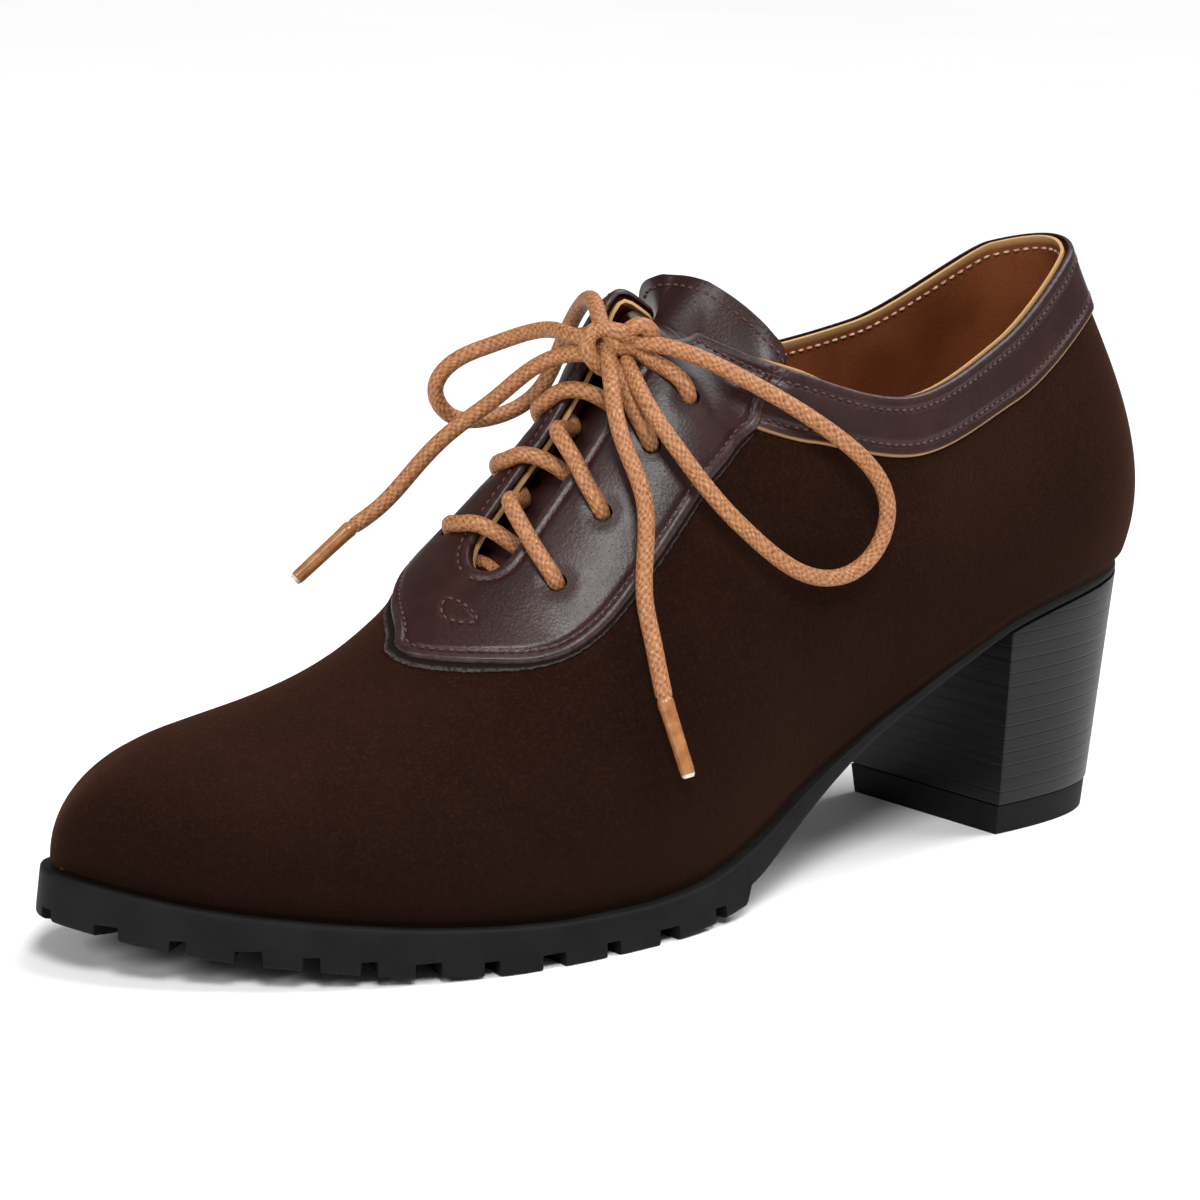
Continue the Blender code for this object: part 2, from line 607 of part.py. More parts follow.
def make_outsole():
    """Lug forefoot, thin waist and heel seat in one piece."""
    step = section_at_station(LUG_END)
    sections = section_list()
    fore = np.append(sections[sections < step - 0.05], step)
    rear = np.insert(sections[sections > step + 0.05], 0, step)

    def ledge(s):
        return table_at(SOLE_LEDGE, s)

    def flared(s):
        return ledge(s) + WALL_FLARE * np.clip((s - 90) / 30, 0, 1)

    loops = plate_loops(fore, ledge, flared, sole_top, lug_low)
    loops += plate_loops(rear, ledge, flared, sole_top, waist_low)
    sole = loft("outsole", loops, RUBBER)

    points = []
    faces = []
    for side, at, width in notch_places(step):
        foot, outward = seat(at, side)
        ahead = np.array([-outward[1], outward[0]])
        base = len(points)
        roof = lug_low(foot[1]) + NOTCH_HEIGHT
        half = width / 2
        roof_half = half - NOTCH_TAPER
        for reach in (8, -NOTCH_DEPTH):
            for breadth, level in ((-half, roof - 12), (half, roof - 12), (roof_half, roof), (-roof_half, roof)):
                spot = foot + reach * outward + breadth * ahead
                points.append((spot[0], spot[1], level))
        a, b, c, d, e, f, g, h = range(base, base + 8)
        faces += [(a, b, c, d), (h, g, f, e), (a, e, f, b), (b, f, g, c), (c, g, h, d), (d, h, e, a)]
    cut(sole, body("notch_tool", np.array(points), faces, RUBBER))
    return sole


def make_insole():
    """Foot bed that lies on the sole inside the upper."""
    def inset(s):
        return -INSOLE_INSET

    def bed(s):
        return table_at(SEAT_LINE, s) + INSOLE_THICK

    def under(s):
        return table_at(SEAT_LINE, s)

    return loft("insole", plate_loops(section_list(), inset, inset, bed, under), LINING)


def heel_loops(levels, inset):
    """Loops from the breast to the back; levels give the share of the way down, or a height for the wear layer."""
    loops = []
    first = section_at_station(HEEL_BREAST_TOP)
    for at in np.concatenate([[first], np.arange(12, BACK + 0.01, 0.25)]):
        loop = []
        for side, order in ((1, levels), (-1, levels[::-1])):
            foot, _ = seat(at, side, -0.5 - inset)
            high = waist_low(foot[1]) - GAP
            low_x = foot[0] * HEEL_TAPER
            low_s = HEEL_BACK + foot[1] * (HEEL_BREAST - HEEL_BACK) / HEEL_BREAST_TOP
            for level in order:
                z = level(high)
                share = (high - z) / high
                loop.append((foot[0] + (low_x - foot[0]) * share, foot[1] + (low_s - foot[1]) * share, z))
        loops.append(loop)
    return loops


def make_heel():
    """Block heel and the wear layer under it."""
    def block_level(share):
        return lambda high: high + (TOP_PIECE + GAP - high) * share

    loft("heel_block", heel_loops([block_level(share) for share in (0, 0.33, 0.67, 1)], 0), STACK)
    wear = [lambda high: TOP_PIECE, lambda high: 0.8, lambda high: 0]
    loops = heel_loops(wear, TOP_PIECE_INSET)
    loft("heel_top_piece", loops, RUBBER)


def hole_tool():
    """Rods through the lace holes."""
    points = []
    faces = []
    sides = 10
    for section, share in LACE_HOLES:
        for side in (1, -1):
            middle = skin(section, share, side, 0)
            axis = skin(section, share, side, 1) - middle
            across = np.cross(axis, (0, 1, 0))
            across = across / np.linalg.norm(across)
            third = np.cross(axis, across)
            base = len(points)
            for end in (-0.5, 0.5):
                for turn in np.arange(sides) * 2 * math.pi / sides:
                    ring = HOLE_RADIUS * (math.cos(turn) * across + math.sin(turn) * third)
                    points.append(middle + end * HOLE_LENGTH * axis + ring)
            faces.append(tuple(range(base + sides - 1, base - 1, -1)))
            faces.append(tuple(range(base + sides, base + 2 * sides)))
            for i in range(sides):
                k = (i + 1) % sides
                faces.append((base + i, base + k, base + sides + k, base + sides + i))
    return body("hole_tool", np.array(points), faces, LEATHER)


def hole_start(side, inward):
    """Middle of the lace over a top hole, clear of the shield, moved a share of the way to the slot."""
    section, share = LACE_HOLES[-1]
    return skin(section, share + (1 - share) * inward, side, LACE_LIFT + 3 * inward)


def make_lace_bars():
    """Lace runs across the slot, from a hole on the outer side to its twin on the inner one."""
    for number, (section, share) in enumerate(LACE_HOLES[:-1]):
        crossing = section + BAR_RISE
        halves = []
        for side in (1, -1):
            mix = np.linspace(0, 1, 4)
            route = skin(section + (crossing - section) * mix**1.5, share + (1 - share) * mix, side, LACE_LIFT)
            halves.append(route)
        middle = (skin(crossing, 1, 1, BAR_DIP, slot=False) + skin(crossing, 1, -1, BAR_DIP, slot=False)) / 2
        route = np.concatenate([halves[0], [middle], halves[1][::-1]])
        tube("lace_bar_%d" % (number + 1), smooth_route(route, LACE_STEP), LACE_RADIUS, LACE)


def knot_exit(way):
    """Two points just outside the knot on a way out of its middle, the nearer one first."""
    way = np.array(way, float) / np.linalg.norm(way)
    reach = 1 / np.linalg.norm(way / np.array(KNOT_HALF))
    near = np.array(KNOT) + (reach + KNOT_CLEAR) * way
    return [near, near + KNOT_LEAVE * way]


def make_knot():
    """Knot of the bow as a rounded lump."""
    rings, sides = 7, 12
    points = []
    faces = []
    for i in range(rings + 1):
        tilt = math.pi * i / rings
        for j in range(sides):
            turn = 2 * math.pi * j / sides
            spot = (math.cos(tilt), math.sin(tilt) * math.cos(turn), math.sin(tilt) * math.sin(turn))
            points.append(np.array(KNOT) + np.array(KNOT_HALF) * spot)
    for i in range(rings):
        for j in range(sides):
            k = (j + 1) % sides
            faces.append((i * sides + j, i * sides + k, (i + 1) * sides + k, (i + 1) * sides + j))
    body("lace_knot", np.array(points), faces, LACE)


def make_bow():
    """Knot, leads from the top holes, loops, ends and their tips."""
    make_knot()
    for name, side, way in (("outer", 1, LEAD_OUTER_WAY), ("inner", -1, LEAD_INNER_WAY)):
        near, far = knot_exit(way)
        route = [hole_start(side, 0), hole_start(side, 0.35), far, near]
        tube("lace_lead_" + name, smooth_route(route, LACE_STEP / 2), LACE_RADIUS, LACE)
    for name, ways, middle in (("outer", LOOP_OUTER_WAYS, LOOP_OUTER), ("inner", LOOP_INNER_WAYS, LOOP_INNER)):
        route = [*knot_exit(ways[0]), *middle, *knot_exit(ways[1])[::-1]]
        tube("lace_loop_" + name, smooth_route(route, LACE_STEP), LACE_RADIUS, LACE)
    ends = (("outer", END_OUTER_WAY, END_OUTER, END_OUTER_TIP), ("inner", END_INNER_WAY, END_INNER, END_INNER_TIP))
    for name, way, middle, tip in ends:
        tube("lace_end_" + name, smooth_route([*knot_exit(way), *middle], LACE_STEP), LACE_RADIUS, LACE)
        run = np.array(tip, float) - middle[-1]
        run = run / np.linalg.norm(run)
        start = np.array(middle[-1]) + (GAP + 0.1) * run
        tube("lace_tip_" + name, [start, start + TIP_LENGTH / 2 * run, start + TIP_LENGTH * run], TIP_RADIUS, TIP)


def main():
    for old in list(bpy.data.objects):
        bpy.data.objects.remove(old, do_unlink=True)
    make_outsole()
    make_heel()
    make_insole()
    upper = make_upper()
    make_tongue()
    stay = make_eyestay()
    make_collar_band()
    rods = hole_tool()
    cut(upper, rods)
    cut(stay, rods)
    make_lace_bars()
    make_bow()


main()
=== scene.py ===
"""Heeled lace-up oxford, left shoe: suede upper, dark leather trim, waxed lace, lug sole and stacked heel."""
import functools
import math

import bpy
from mathutils import Matrix
import numpy as np


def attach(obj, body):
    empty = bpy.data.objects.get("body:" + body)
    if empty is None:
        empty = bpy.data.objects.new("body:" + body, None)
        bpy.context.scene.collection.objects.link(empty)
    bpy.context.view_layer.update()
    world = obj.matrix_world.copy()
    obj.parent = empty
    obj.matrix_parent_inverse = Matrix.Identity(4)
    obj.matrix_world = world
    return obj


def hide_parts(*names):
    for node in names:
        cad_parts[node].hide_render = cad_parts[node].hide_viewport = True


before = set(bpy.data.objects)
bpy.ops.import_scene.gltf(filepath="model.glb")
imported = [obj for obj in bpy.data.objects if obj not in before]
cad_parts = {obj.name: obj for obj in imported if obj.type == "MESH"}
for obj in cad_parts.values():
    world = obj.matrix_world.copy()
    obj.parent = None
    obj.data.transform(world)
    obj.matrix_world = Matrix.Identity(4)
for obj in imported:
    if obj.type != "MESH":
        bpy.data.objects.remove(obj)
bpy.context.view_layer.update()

# Sizes are in millimetres. Station s runs forward from the back of the heel seat.
MM = 0.001
CENTRE_X = -0.9535
CENTRE_S = 120.737

GAP = 0.3
WALL = 1.6

# Upper: one row a section, from the toe tip round to the back.
# seat_*: sole edge of the section (station, outer x, inner x).
# edge_*: its end at the ridge or opening (station, half offsets, heights; outer and inner side).
# bearing: way the end faces in plan, from forward (0) to back (180).
# flare, rise: angle off vertical and length of the lower handle. lean, reach_*: same for the upper one.
# cant_*: sideways tilt of the crown.
SECTION_COLUMNS = ("seat_s", "seat_out", "seat_in", "edge_s", "edge_out", "edge_in", "top_out", "top_in",
                   "bearing", "flare", "rise", "lean", "reach_out", "reach_in", "cant_out", "cant_in")
SECTIONS = (
    # toe tip, toe round, toe side, toe back
    (241.6, -10.8, -10.8, 214, 0, 0, 40.6, 40.6, 0, 4, 12, 90, 17, 17, 4, 4),
    (238.6, -0.6, -18.6, 214, 0, 0, 40.6, 40.6, 30, 4, 12, 90, 17, 17, 4, 4),
    (230, 11.4, -28.4, 214, 0, 0, 40.6, 40.6, 60, 6, 12.6, 90, 17, 17.5, 4, 4),
    (212, 25.5, -36.5, 214, 0, 0, 40.6, 40.6, 90, 7.6, 12.6, 90, 17.2, 19.2, 4.5, 4.5),
    # vamp, ball, shield point, slot end
    (194, 34.1, -40.5, 198, 0, 0, 43.9, 43.9, 90, 8, 13.4, 90, 17.9, 21, 6.2, 6.2),
    (176, 38.6, -41.5, 182, 0, 0, 48.7, 48.7, 90, 8, 15.8, 90, 17.9, 23.2, 10.5, 10.5),
    (159, 39.6, -38.5, 169, 0, 0, 55.5, 55.5, 90, 8.2, 19.6, 90, 16.8, 26, 16.8, 16.8),
    (145, 39, -34.3, 158, 0, 0, 64.3, 64.3, 90, 8.9, 25, 90, 15, 30, 22, 22),
    # facing, throat, top corner
    (128, 36.4, -29.2, 138.8, 0, 0, 84.6, 84.6, 90, 9.3, 27.6, 88, 18, 27, 15, 17),
    (108, 31.2, -25.6, 117, 0, 0, 106.6, 108.2, 90, 9.4, 29, 80, 22, 25, 8, 10),
    (90, 28.2, -24.6, 100, 21.2, 21, 99, 98.4, 90, 8.6, 27, 23, 19.5, 18.5, 0, 0),
    # topline dip, quarter, counter, back
    (68, 28.2, -25.2, 76.6, 27.4, 25.2, 92.8, 95.2, 92, 8.8, 22.7, 14, 20.5, 20.2, 0, 0),
    (40, 28.4, -27.2, 46.7, 21.8, 22.3, 100.4, 99.4, 100, 13, 21.4, 12, 18.7, 18.6, 0, 0),
    (12, 21.3, -21, 18, 10.8, 12, 115.6, 114.6, 140, 22.5, 25, 17, 18.5, 18, 0, 0),
    (0, 0, 0, 12.4, 0, 0, 116.9, 116.9, 180, 23.5, 23.3, 18, 18, 18, 0, 0),
)
TOE_BACK, SLOT_END, THROAT, TOP_CORNER, BACK = 3, 7, 9, 10, 14
RIDGE_SLOPE = 0.19
RIDGE_LINE = ((-10, 0), (158, 0), (182, -1.9), (214, -6.8), (250, -8))
SLOT_HALF = 4.3
SLOT_TOP_HALF = 5.3
SLOT_ROUND = 4.5
# Shift of the inner facing's top corner, which the lace pulls off the tongue, half its length in sections,
# and the shares of height between which it sets in.
CORNER_LIFT = (0.2, 2.8, 4.8)
CORNER_HALF = 0.6
CORNER_SHARES = (0.3, 0.85)

# Height of the sole edge: station, height.
SEAT_LINE = ((-10, 52.6), (0, 52.3), (12, 51.6), (30, 49.3), (45, 46), (60, 39.9), (75, 33.1), (90, 26.1),
             (105, 19.2), (120, 12.8), (135, 8.9), (150, 7.9), (165, 8), (180, 8.8), (195, 10.1),
             (210, 11.9), (225, 14.1), (244, 18.7))

# Sole. Lug bottom: station, height. Waist: station, thickness. Ledge: station, overhang past the upper.
LUG_BOTTOM = ((100, 8), (116, 4.2), (123, 2.5), (132, 1.1), (140, 0.3), (148, 0), (176, 0), (184, 0.4),
              (194, 1.2), (203, 2.2), (212, 3.4), (222, 4.8), (230, 6.2), (238, 7.9), (246, 9.8))
WAIST_THICK = ((-10, 2), (60, 2), (80, 2.2), (95, 3.4), (108, 4.8), (123, 6), (140, 6))
SOLE_LEDGE = ((-10, -0.5), (50, -0.5), (75, 0.4), (100, 1.4), (125, 1.8), (250, 1.8))
LUG_END = 123
# Outward slope of the wall, which sets in from a station over a run, and the radius of its eased edges.
WALL_FLARE = 1
FLARE_START = 90
FLARE_RUN = 30
SOLE_EASE = 0.75
# Notches: number from the toe, distance from it along the edge. Some numbers are broad.
NOTCH_RUN = ((0, 0), (3, 39.6), (6, 71.4), (8, 95.9), (11, 136.4))
NOTCH_BROAD = (1, 3, 6, 8, 10)
NOTCH_WIDE = 6.2
NOTCH_NARROW = 4.4
NOTCH_HEIGHT = 2.8
NOTCH_DEPTH = 9
NOTCH_TAPER = 0.7
# Outset of the line along which notches are counted, and how far their tools reach out and down.
NOTCH_LINE = 2.5
NOTCH_OUT = 8
NOTCH_DOWN = 12

INSOLE_THICK = 2
INSOLE_INSET = WALL + 0.5
INSOLE_BODY = 1.7
INSOLE_DISH = 0.5

# Heel: station of its breast at the top, stations of breast and back at the bottom, share of the width
# that is left there, inset from the sole edge, then height and inset of the wear layer.
HEEL_BREAST_TOP = 47
HEEL_BREAST = 44
HEEL_BACK = 5
HEEL_TAPER = 0.785
HEEL_INSET = 0.5
TOP_PIECE = 6
TOP_PIECE_INSET = 0.3

TONGUE_THICK = 1.5
TONGUE_GAP = 0.8
TONGUE_DROP = 2.6
TONGUE_ARCH = (0, 0.8, 0.9)
TONGUE_SHARES = ((6.6, 0.86), (7, 0.78), (8, 0.72), (9, 0.68))
# Free top on either side: share of the half width, section and share where it leaves the opening, then its
# top edge (x, s, z).
TONGUE_TOP = (
    (0, 9.32, 1, 3.6, 106.1, 114.3), (0.09, 9.4, 1, 6, 105.3, 113.2), (0.2, 9.49, 1, 8.6, 103.9, 111.6),
    (0.34, 9.6, 1, 11.5, 102, 109.2), (0.52, 9.75, 1, 14.5, 99.6, 105.6),
    (0.74, 9.88, 0.985, 16.4, 97.8, 102), (1, 9.94, 0.92, 17.8, 98, 95),
)
TONGUE_TOP_INNER = (
    (0, 9.32, 1, 3.6, 107.7, 114.9), (0.09, 9.345, 1, 6, 108.9, 114.9), (0.2, 9.39, 1, 9.2, 109.4, 114),
    (0.34, 9.47, 1, 12.6, 108.9, 112.6), (0.52, 9.6, 1, 15, 108, 110),
    (0.74, 9.78, 0.985, 16.8, 105.8, 105.4), (1, 9.94, 0.92, 18.8, 98.6, 97),
)

# Shield: section of its inner border, then section and level of its outer border, on either side.
STAY_OUTER = (
    (5.46, 5.46, 1), (5.52, 5.45, 0.943), (5.68, 5.59, 0.872), (5.92, 5.8, 0.818), (6.15, 6.04, 0.768),
    (6.42, 6.31, 0.722), (6.72, 6.59, 0.677), (7, 6.89, 0.638), (7.25, 7.22, 0.608), (7.6, 7.53, 0.595),
    (7.98, 7.89, 0.6), (8.55, 8.46, 0.613), (8.84, 8.74, 0.621), (9.12, 9.1, 0.649), (9.3, 9.3, 0.69),
    (9.5, 9.48, 0.742), (9.65, 9.62, 0.815), (9.79, 9.76, 0.888), (9.89, 9.88, 0.951), (9.97, 9.97, 1),
)
STAY_INNER = (
    (5.46, 5.46, 1), (5.62, 5.59, 0.972), (5.83, 5.77, 0.915), (6.03, 5.95, 0.857), (6.3, 6.2, 0.796),
    (6.6, 6.5, 0.742), (6.85, 6.75, 0.706), (7, 6.95, 0.683), (7.25, 7.22, 0.657), (7.6, 7.55, 0.634),
    (7.98, 7.9, 0.626), (8.55, 8.46, 0.627), (8.84, 8.74, 0.634), (9.12, 9.1, 0.654), (9.3, 9.3, 0.69),
    (9.5, 9.48, 0.742), (9.65, 9.62, 0.815), (9.79, 9.76, 0.888), (9.89, 9.88, 0.951), (9.97, 9.97, 1),
)
# Collar band: section of its top border, then section and share of height of its lower border.
BAND_ROWS = (
    (9.94, 9.43, 0.73), (10.2, 9.8, 0.765), (10.5, 10.2, 0.785), (11, 10.9, 0.8), (11.5, 11.45, 0.79),
    (12.2, 12.2, 0.765), (13, 13, 0.775), (14, 14, 0.78),
)
# Lace holes: section and share of height on either side, from the lowest pair up.
HOLES_OUTER = ((7.4, 0.825), (7.94, 0.843), (8.44, 0.838), (8.84, 0.84))
HOLES_INNER = ((7.2, 0.872), (7.76, 0.872), (8.22, 0.872), (8.68, 0.84))
HOLE_RADIUS = 1.9

LACE_RADIUS = 1.6
# Lace tip: length, then distances along its film with the radius there.
TIP_LENGTH = 14.5
TIP_SHAPE = ((0, 1.5), (1, 1.62), (3, 1.5), (16, 1.36))

# Bow: routes (x, s, z) of the knot's turns, loops and free ends, and the far ends of the tips.
# Leads: side, end in the knot, point before it.
KNOT_TURNS = (
    ((2.2, 128.2, 99.1), (2.3, 130.4, 99.7), (2.3, 132.5, 101.2), (2, 133.6, 103.1), (1.9, 133.8, 105),
     (2.1, 132.9, 106.5), (3.1, 131.4, 107.3), (4.9, 129.9, 107), (5.8, 128, 106.5), (5.5, 125.8, 105.2),
     (4.2, 124.3, 103.6)),
    ((3, 126.5, 103.8), (4.9, 127.3, 105.8), (6.6, 127, 107.4), (7.6, 125.9, 108), (8.1, 124.4, 107.4),
     (7.6, 123, 105.9), (6, 122.2, 104.2)),
    ((-0.5, 130.6, 102.5), (1, 130.1, 102.9), (3.2, 129, 104.6), (4.5, 126.9, 104), (5.6, 124.2, 103)),
    ((0.8, 130.5, 107.4), (3.1, 129.9, 106.1), (4.1, 128.8, 104.5), (4.2, 127.4, 102.7)),
)
LOOP_OUTER = (
    (5.4, 126, 104.9), (9, 123.4, 104.4), (14.5, 119.6, 103), (20.2, 112.2, 98.8), (26.4, 104.8, 93.5),
    (31, 96.4, 87), (33.8, 90.6, 81), (35, 87.8, 74.8), (35, 88.6, 68.4), (34.6, 92.4, 63.6),
    (34, 98.2, 61.4), (33.2, 104.2, 62), (32.2, 110.6, 65.2), (30.2, 116.6, 70.4), (27.2, 122.4, 77),
    (22.6, 127, 85), (16, 129.6, 93.2), (9.4, 128.4, 98.2), (4.5, 126.9, 101.4),
)
LOOP_INNER = (
    (0.4, 131.6, 104.4), (-5, 131.8, 105), (-13, 131.2, 105.2), (-20, 132.2, 103.6), (-26.6, 135.4, 100.8),
    (-31.6, 140.2, 97.4), (-34.7, 142.1, 92.1), (-34.7, 138.9, 86.8), (-31.6, 131, 85.8), (-28, 122, 91),
    (-25.5, 119, 99), (-20, 119.4, 106.6), (-13, 121.8, 110.4), (-5.4, 125.8, 109.4), (0.6, 129.2, 106),
)
END_OUTER = (
    (3, 130, 103.4), (6, 131.6, 99.8), (10, 134, 95.2), (16, 136, 87.6), (21.6, 135.8, 78.4),
    (24.6, 137.8, 68), (27, 139.6, 60.6), (30.2, 140.2, 53.6), (32.4, 140.6, 48.8), (34.6, 140.8, 43.6),
)
END_OUTER_TIP = (40, 139.4, 30.2)
END_INNER = (
    (0.6, 131.8, 102.2), (-4, 133.2, 101.8), (-9.8, 135.4, 99.6), (-20, 139.4, 91.4), (-26, 145.6, 84.6),
    (-30.5, 150.6, 77.4), (-34, 156, 70.4), (-36.4, 160.8, 66.6),
)
END_INNER_TIP = (-41, 170.4, 57)
LEAD_ENDS = ((1, (5.2, 124.6, 103.2), (7.4, 123, 101.2)), (-1, (0.6, 129.6, 103.4), (-4.6, 126.8, 104.8)))

# Stitched tack under the slot's end on the outer side: section and level of its outline.
TACK = ((6.43, 0.995), (6.3, 0.984), (6.215, 0.955), (6.24, 0.918), (6.36, 0.876), (6.5, 0.856),
        (6.56, 0.882), (6.55, 0.935), (6.5, 0.975))

# Suede: thickness, how far its foot is tucked in and sunk at the sole, and how much its rim stays low.
SUEDE_THICK = 0.9
SUEDE_TUCK = 0.75
SUEDE_SINK = 0.7
RIM_SHORT = 0.012
# Soft creases of the suede: side, section and share at both ends, half width and depth.
FOLDS = (
    (1, (4.65, 0.6), (5.5, 0.2), 7, 0.3), (1, (5.2, 0.62), (6.1, 0.28), 6.5, 0.26),
    (-1, (4.7, 0.62), (5.55, 0.22), 7, 0.3), (-1, (5.3, 0.66), (6.2, 0.3), 6.5, 0.26),
    (1, (11.2, 0.5), (12.3, 0.3), 8, 0.22), (-1, (11.2, 0.5), (12.3, 0.3), 8, 0.22),
)
# Lining: depth under the suede, thickness, tuck at the sole, and its rise at the outer top corner.
LINING_DEPTH = 0.95
LINING_THICK = 0.65
LINING_TUCK = 1.1
LINING_RISE = 0.9
LINING_RISE_HALF = 0.42
# Overlays: gap under them, thickness, rounded edge, and the half width and depth of what is sunk in them.
LAY_GAP = 0.03
STAY_THICK = 1.25
STAY_ROUND = 0.8
BAND_THICK = 1.0
SEAM_HALF = 0.9
SEAM_DEPTH = 0.34
SLOT_SEAM_DEPTH = 0.3
BAND_SEAM_HALF = 0.8
BAND_SEAM_DEPTH = 0.25
HOLE_DIP_HALF = 4.6
HOLE_DIP_DEPTH = 0.4
TACK_DEPTH = 0.16
DIMPLE_PLACE = (6.72, 0.97)
DIMPLE_HALF = 4.2
DIMPLE_DEPTH = 0.35
# Layer under the shield, its dark face a painted shadow: share of its reach (or millimetres inwards), height,
# and how far it is a cut rim.
UNDER_ROWS = ((-1.2, 0.02, 0), (0.5, 0.02, 0.2), (0.92, 0.03, 1), (1.0, 0.22, 1), (0.93, 0.44, 1),
              (0.5, 0.5, 0.05), (-1.2, 0.5, 0))
# Seams: distance from the edge. Threads: radius, length and gap of a stitch.
STITCH_IN = 2.3
TOP_STITCH_IN = 2.7
TONGUE_STITCH_IN = 2.2
LINING_STITCH_IN = 2.6
TRIM_THREAD = (0.28, 1.05, 0.75)
LINING_THREAD = (0.3, 1.2, 0.9)
LACE_LIFT = STAY_THICK + LACE_RADIUS

CAMERA_PLACE = (0.58911, -0.47411, 0.21297)
CAMERA_AZIMUTH = 51.6009
CAMERA_ELEVATION = 11.8984
CAMERA_ROLL = 0.5705
CAMERA_LENS = 121.35
CAMERA_SENSOR = 36

# Light: level of the white surroundings; place, power and spread in degrees of the overhead sun;
# name, place, size in metres and power of each softbox.
SKY_LIGHT = 0.2
SUN_PLACE = (0.137, 0.512, 0.848)
SUN_LIGHT = 3.0
SUN_SPREAD = 50
SOFTBOXES = (
    ("front softbox", (0.87, -0.54, 1.1), 0.42, 15), ("toe softbox", (0.2, -1.3, 0.73), 0.42, 9),
    ("side softbox", (1.3, 0.5, 0.6), 0.7, 1.05),
)

# Points closer than this, in metres, become one, and shorter edges than the second go.
MERGE_GAP = 0.000004
SHORT_EDGE = 0.000001
# Sockets of a mix of colours: share, first and second colour, result.
MIX_SHARE, MIX_FIRST, MIX_SECOND, MIX_RESULT = 0, 6, 7, 2


def run_through(knots, values, at):
    """Smooth run through values at knots that never swings past them."""
    knots = np.asarray(knots, float)
    values = np.asarray(values, float)
    step = np.diff(knots)
    slope = (np.diff(values, axis=0).T / step).T
    before, after = slope[:-1], slope[1:]
    w1 = (2 * step[1:] + step[:-1]).reshape((-1,) + (1,) * (values.ndim - 1))
    w2 = (step[1:] + 2 * step[:-1]).reshape(w1.shape)
    same = before * after > 0
    safe_before = np.where(same, before, 1)
    safe_after = np.where(same, after, 1)
    grade = np.zeros_like(values)
    grade[1:-1] = np.where(same, (w1 + w2) / (w1 / safe_before + w2 / safe_after), 0)
    grade[0] = 1.5 * slope[0] - 0.5 * grade[1]
    grade[-1] = 1.5 * slope[-1] - 0.5 * grade[-2]
    at = np.clip(np.asarray(at, float), knots[0], knots[-1])
    i = np.clip(np.searchsorted(knots, at, side="right") - 1, 0, len(step) - 1)
    shape = at.shape + (1,) * (values.ndim - 1)
    h = step[i].reshape(shape)
    f = ((at - knots[i]) / step[i]).reshape(shape)
    start = values[i] * (2 * f**3 - 3 * f**2 + 1) + grade[i] * h * (f**3 - 2 * f**2 + f)
    end = values[i + 1] * (3 * f**2 - 2 * f**3) + grade[i + 1] * h * (f**3 - f**2)
    return start + end


def table_at(table, at):
    """Read the second column of a two-column table at values of the first."""
    rows = np.asarray(table, float)
    return run_through(rows[:, 0], rows[:, 1], at)


def round_curve(points, at):
    """Closed smooth curve through points, read at a running point number."""
    points = np.asarray(points, float)
    count = len(points)
    matrix = np.zeros((count, count))
    bend = np.zeros_like(points)
    for i in range(count):
        after = (i + 1) % count
        matrix[i, i] = 4
        matrix[i, i - 1] = 1
        matrix[i, after] = 1
        bend[i] = 6 * (points[i - 1] - 2 * points[i] + points[after])
    second = np.linalg.solve(matrix, bend)
    at = np.asarray(at, float) % count
    i = at.astype(int) % count
    j = (i + 1) % count
    f = (at - np.floor(at))[..., None]
    g = 1 - f
    return g * points[i] + f * points[j] + ((g**3 - g) * second[i] + (f**3 - f) * second[j]) / 6


def column(name):
    """One named column of the section table."""
    return np.array([row[SECTION_COLUMNS.index(name)] for row in SECTIONS], float)


def seat_outline():
    """Points of the sole edge, from the toe tip down the outer side and back up the inner one."""
    outer = np.stack([column("seat_out"), column("seat_s")], axis=1)
    inner = np.stack([column("seat_in"), column("seat_s")], axis=1)
    return np.vstack([outer, inner[-2:0:-1]])


def seat(section, side, outset=0):
    """Plan points (x, s) of the sole edge, moved outwards, with the outward direction."""
    outline = seat_outline()
    at = np.asarray(section, float) * side
    point = round_curve(outline, at)
    ahead = round_curve(outline, at + 0.001) - round_curve(outline, at - 0.001)
    ahead = ahead / np.linalg.norm(ahead, axis=-1, keepdims=True)
    outward = np.stack([-ahead[..., 1], ahead[..., 0]], axis=-1)
    return point + np.asarray(outset, float)[..., None] * outward, outward


def section_values(section, side):
    """Named values of the sections on one side; both ends run on into the other side without a corner."""
    way = "_out" if side > 0 else "_in"
    rows = {name: column(name) for name in ("edge_s", "bearing", "flare", "rise", "lean")}
    for name in ("edge", "top", "reach", "cant"):
        rows[name] = column(name + way)
    for name, row in rows.items():
        before, after = row[1], row[-2]
        if name == "edge":
            before, after = -before, -after
        if name == "bearing":
            before, after = -before, 360 - after
        rows[name] = run_through(np.arange(-1, BACK + 2), np.concatenate([[before], row, [after]]), section)
    return rows


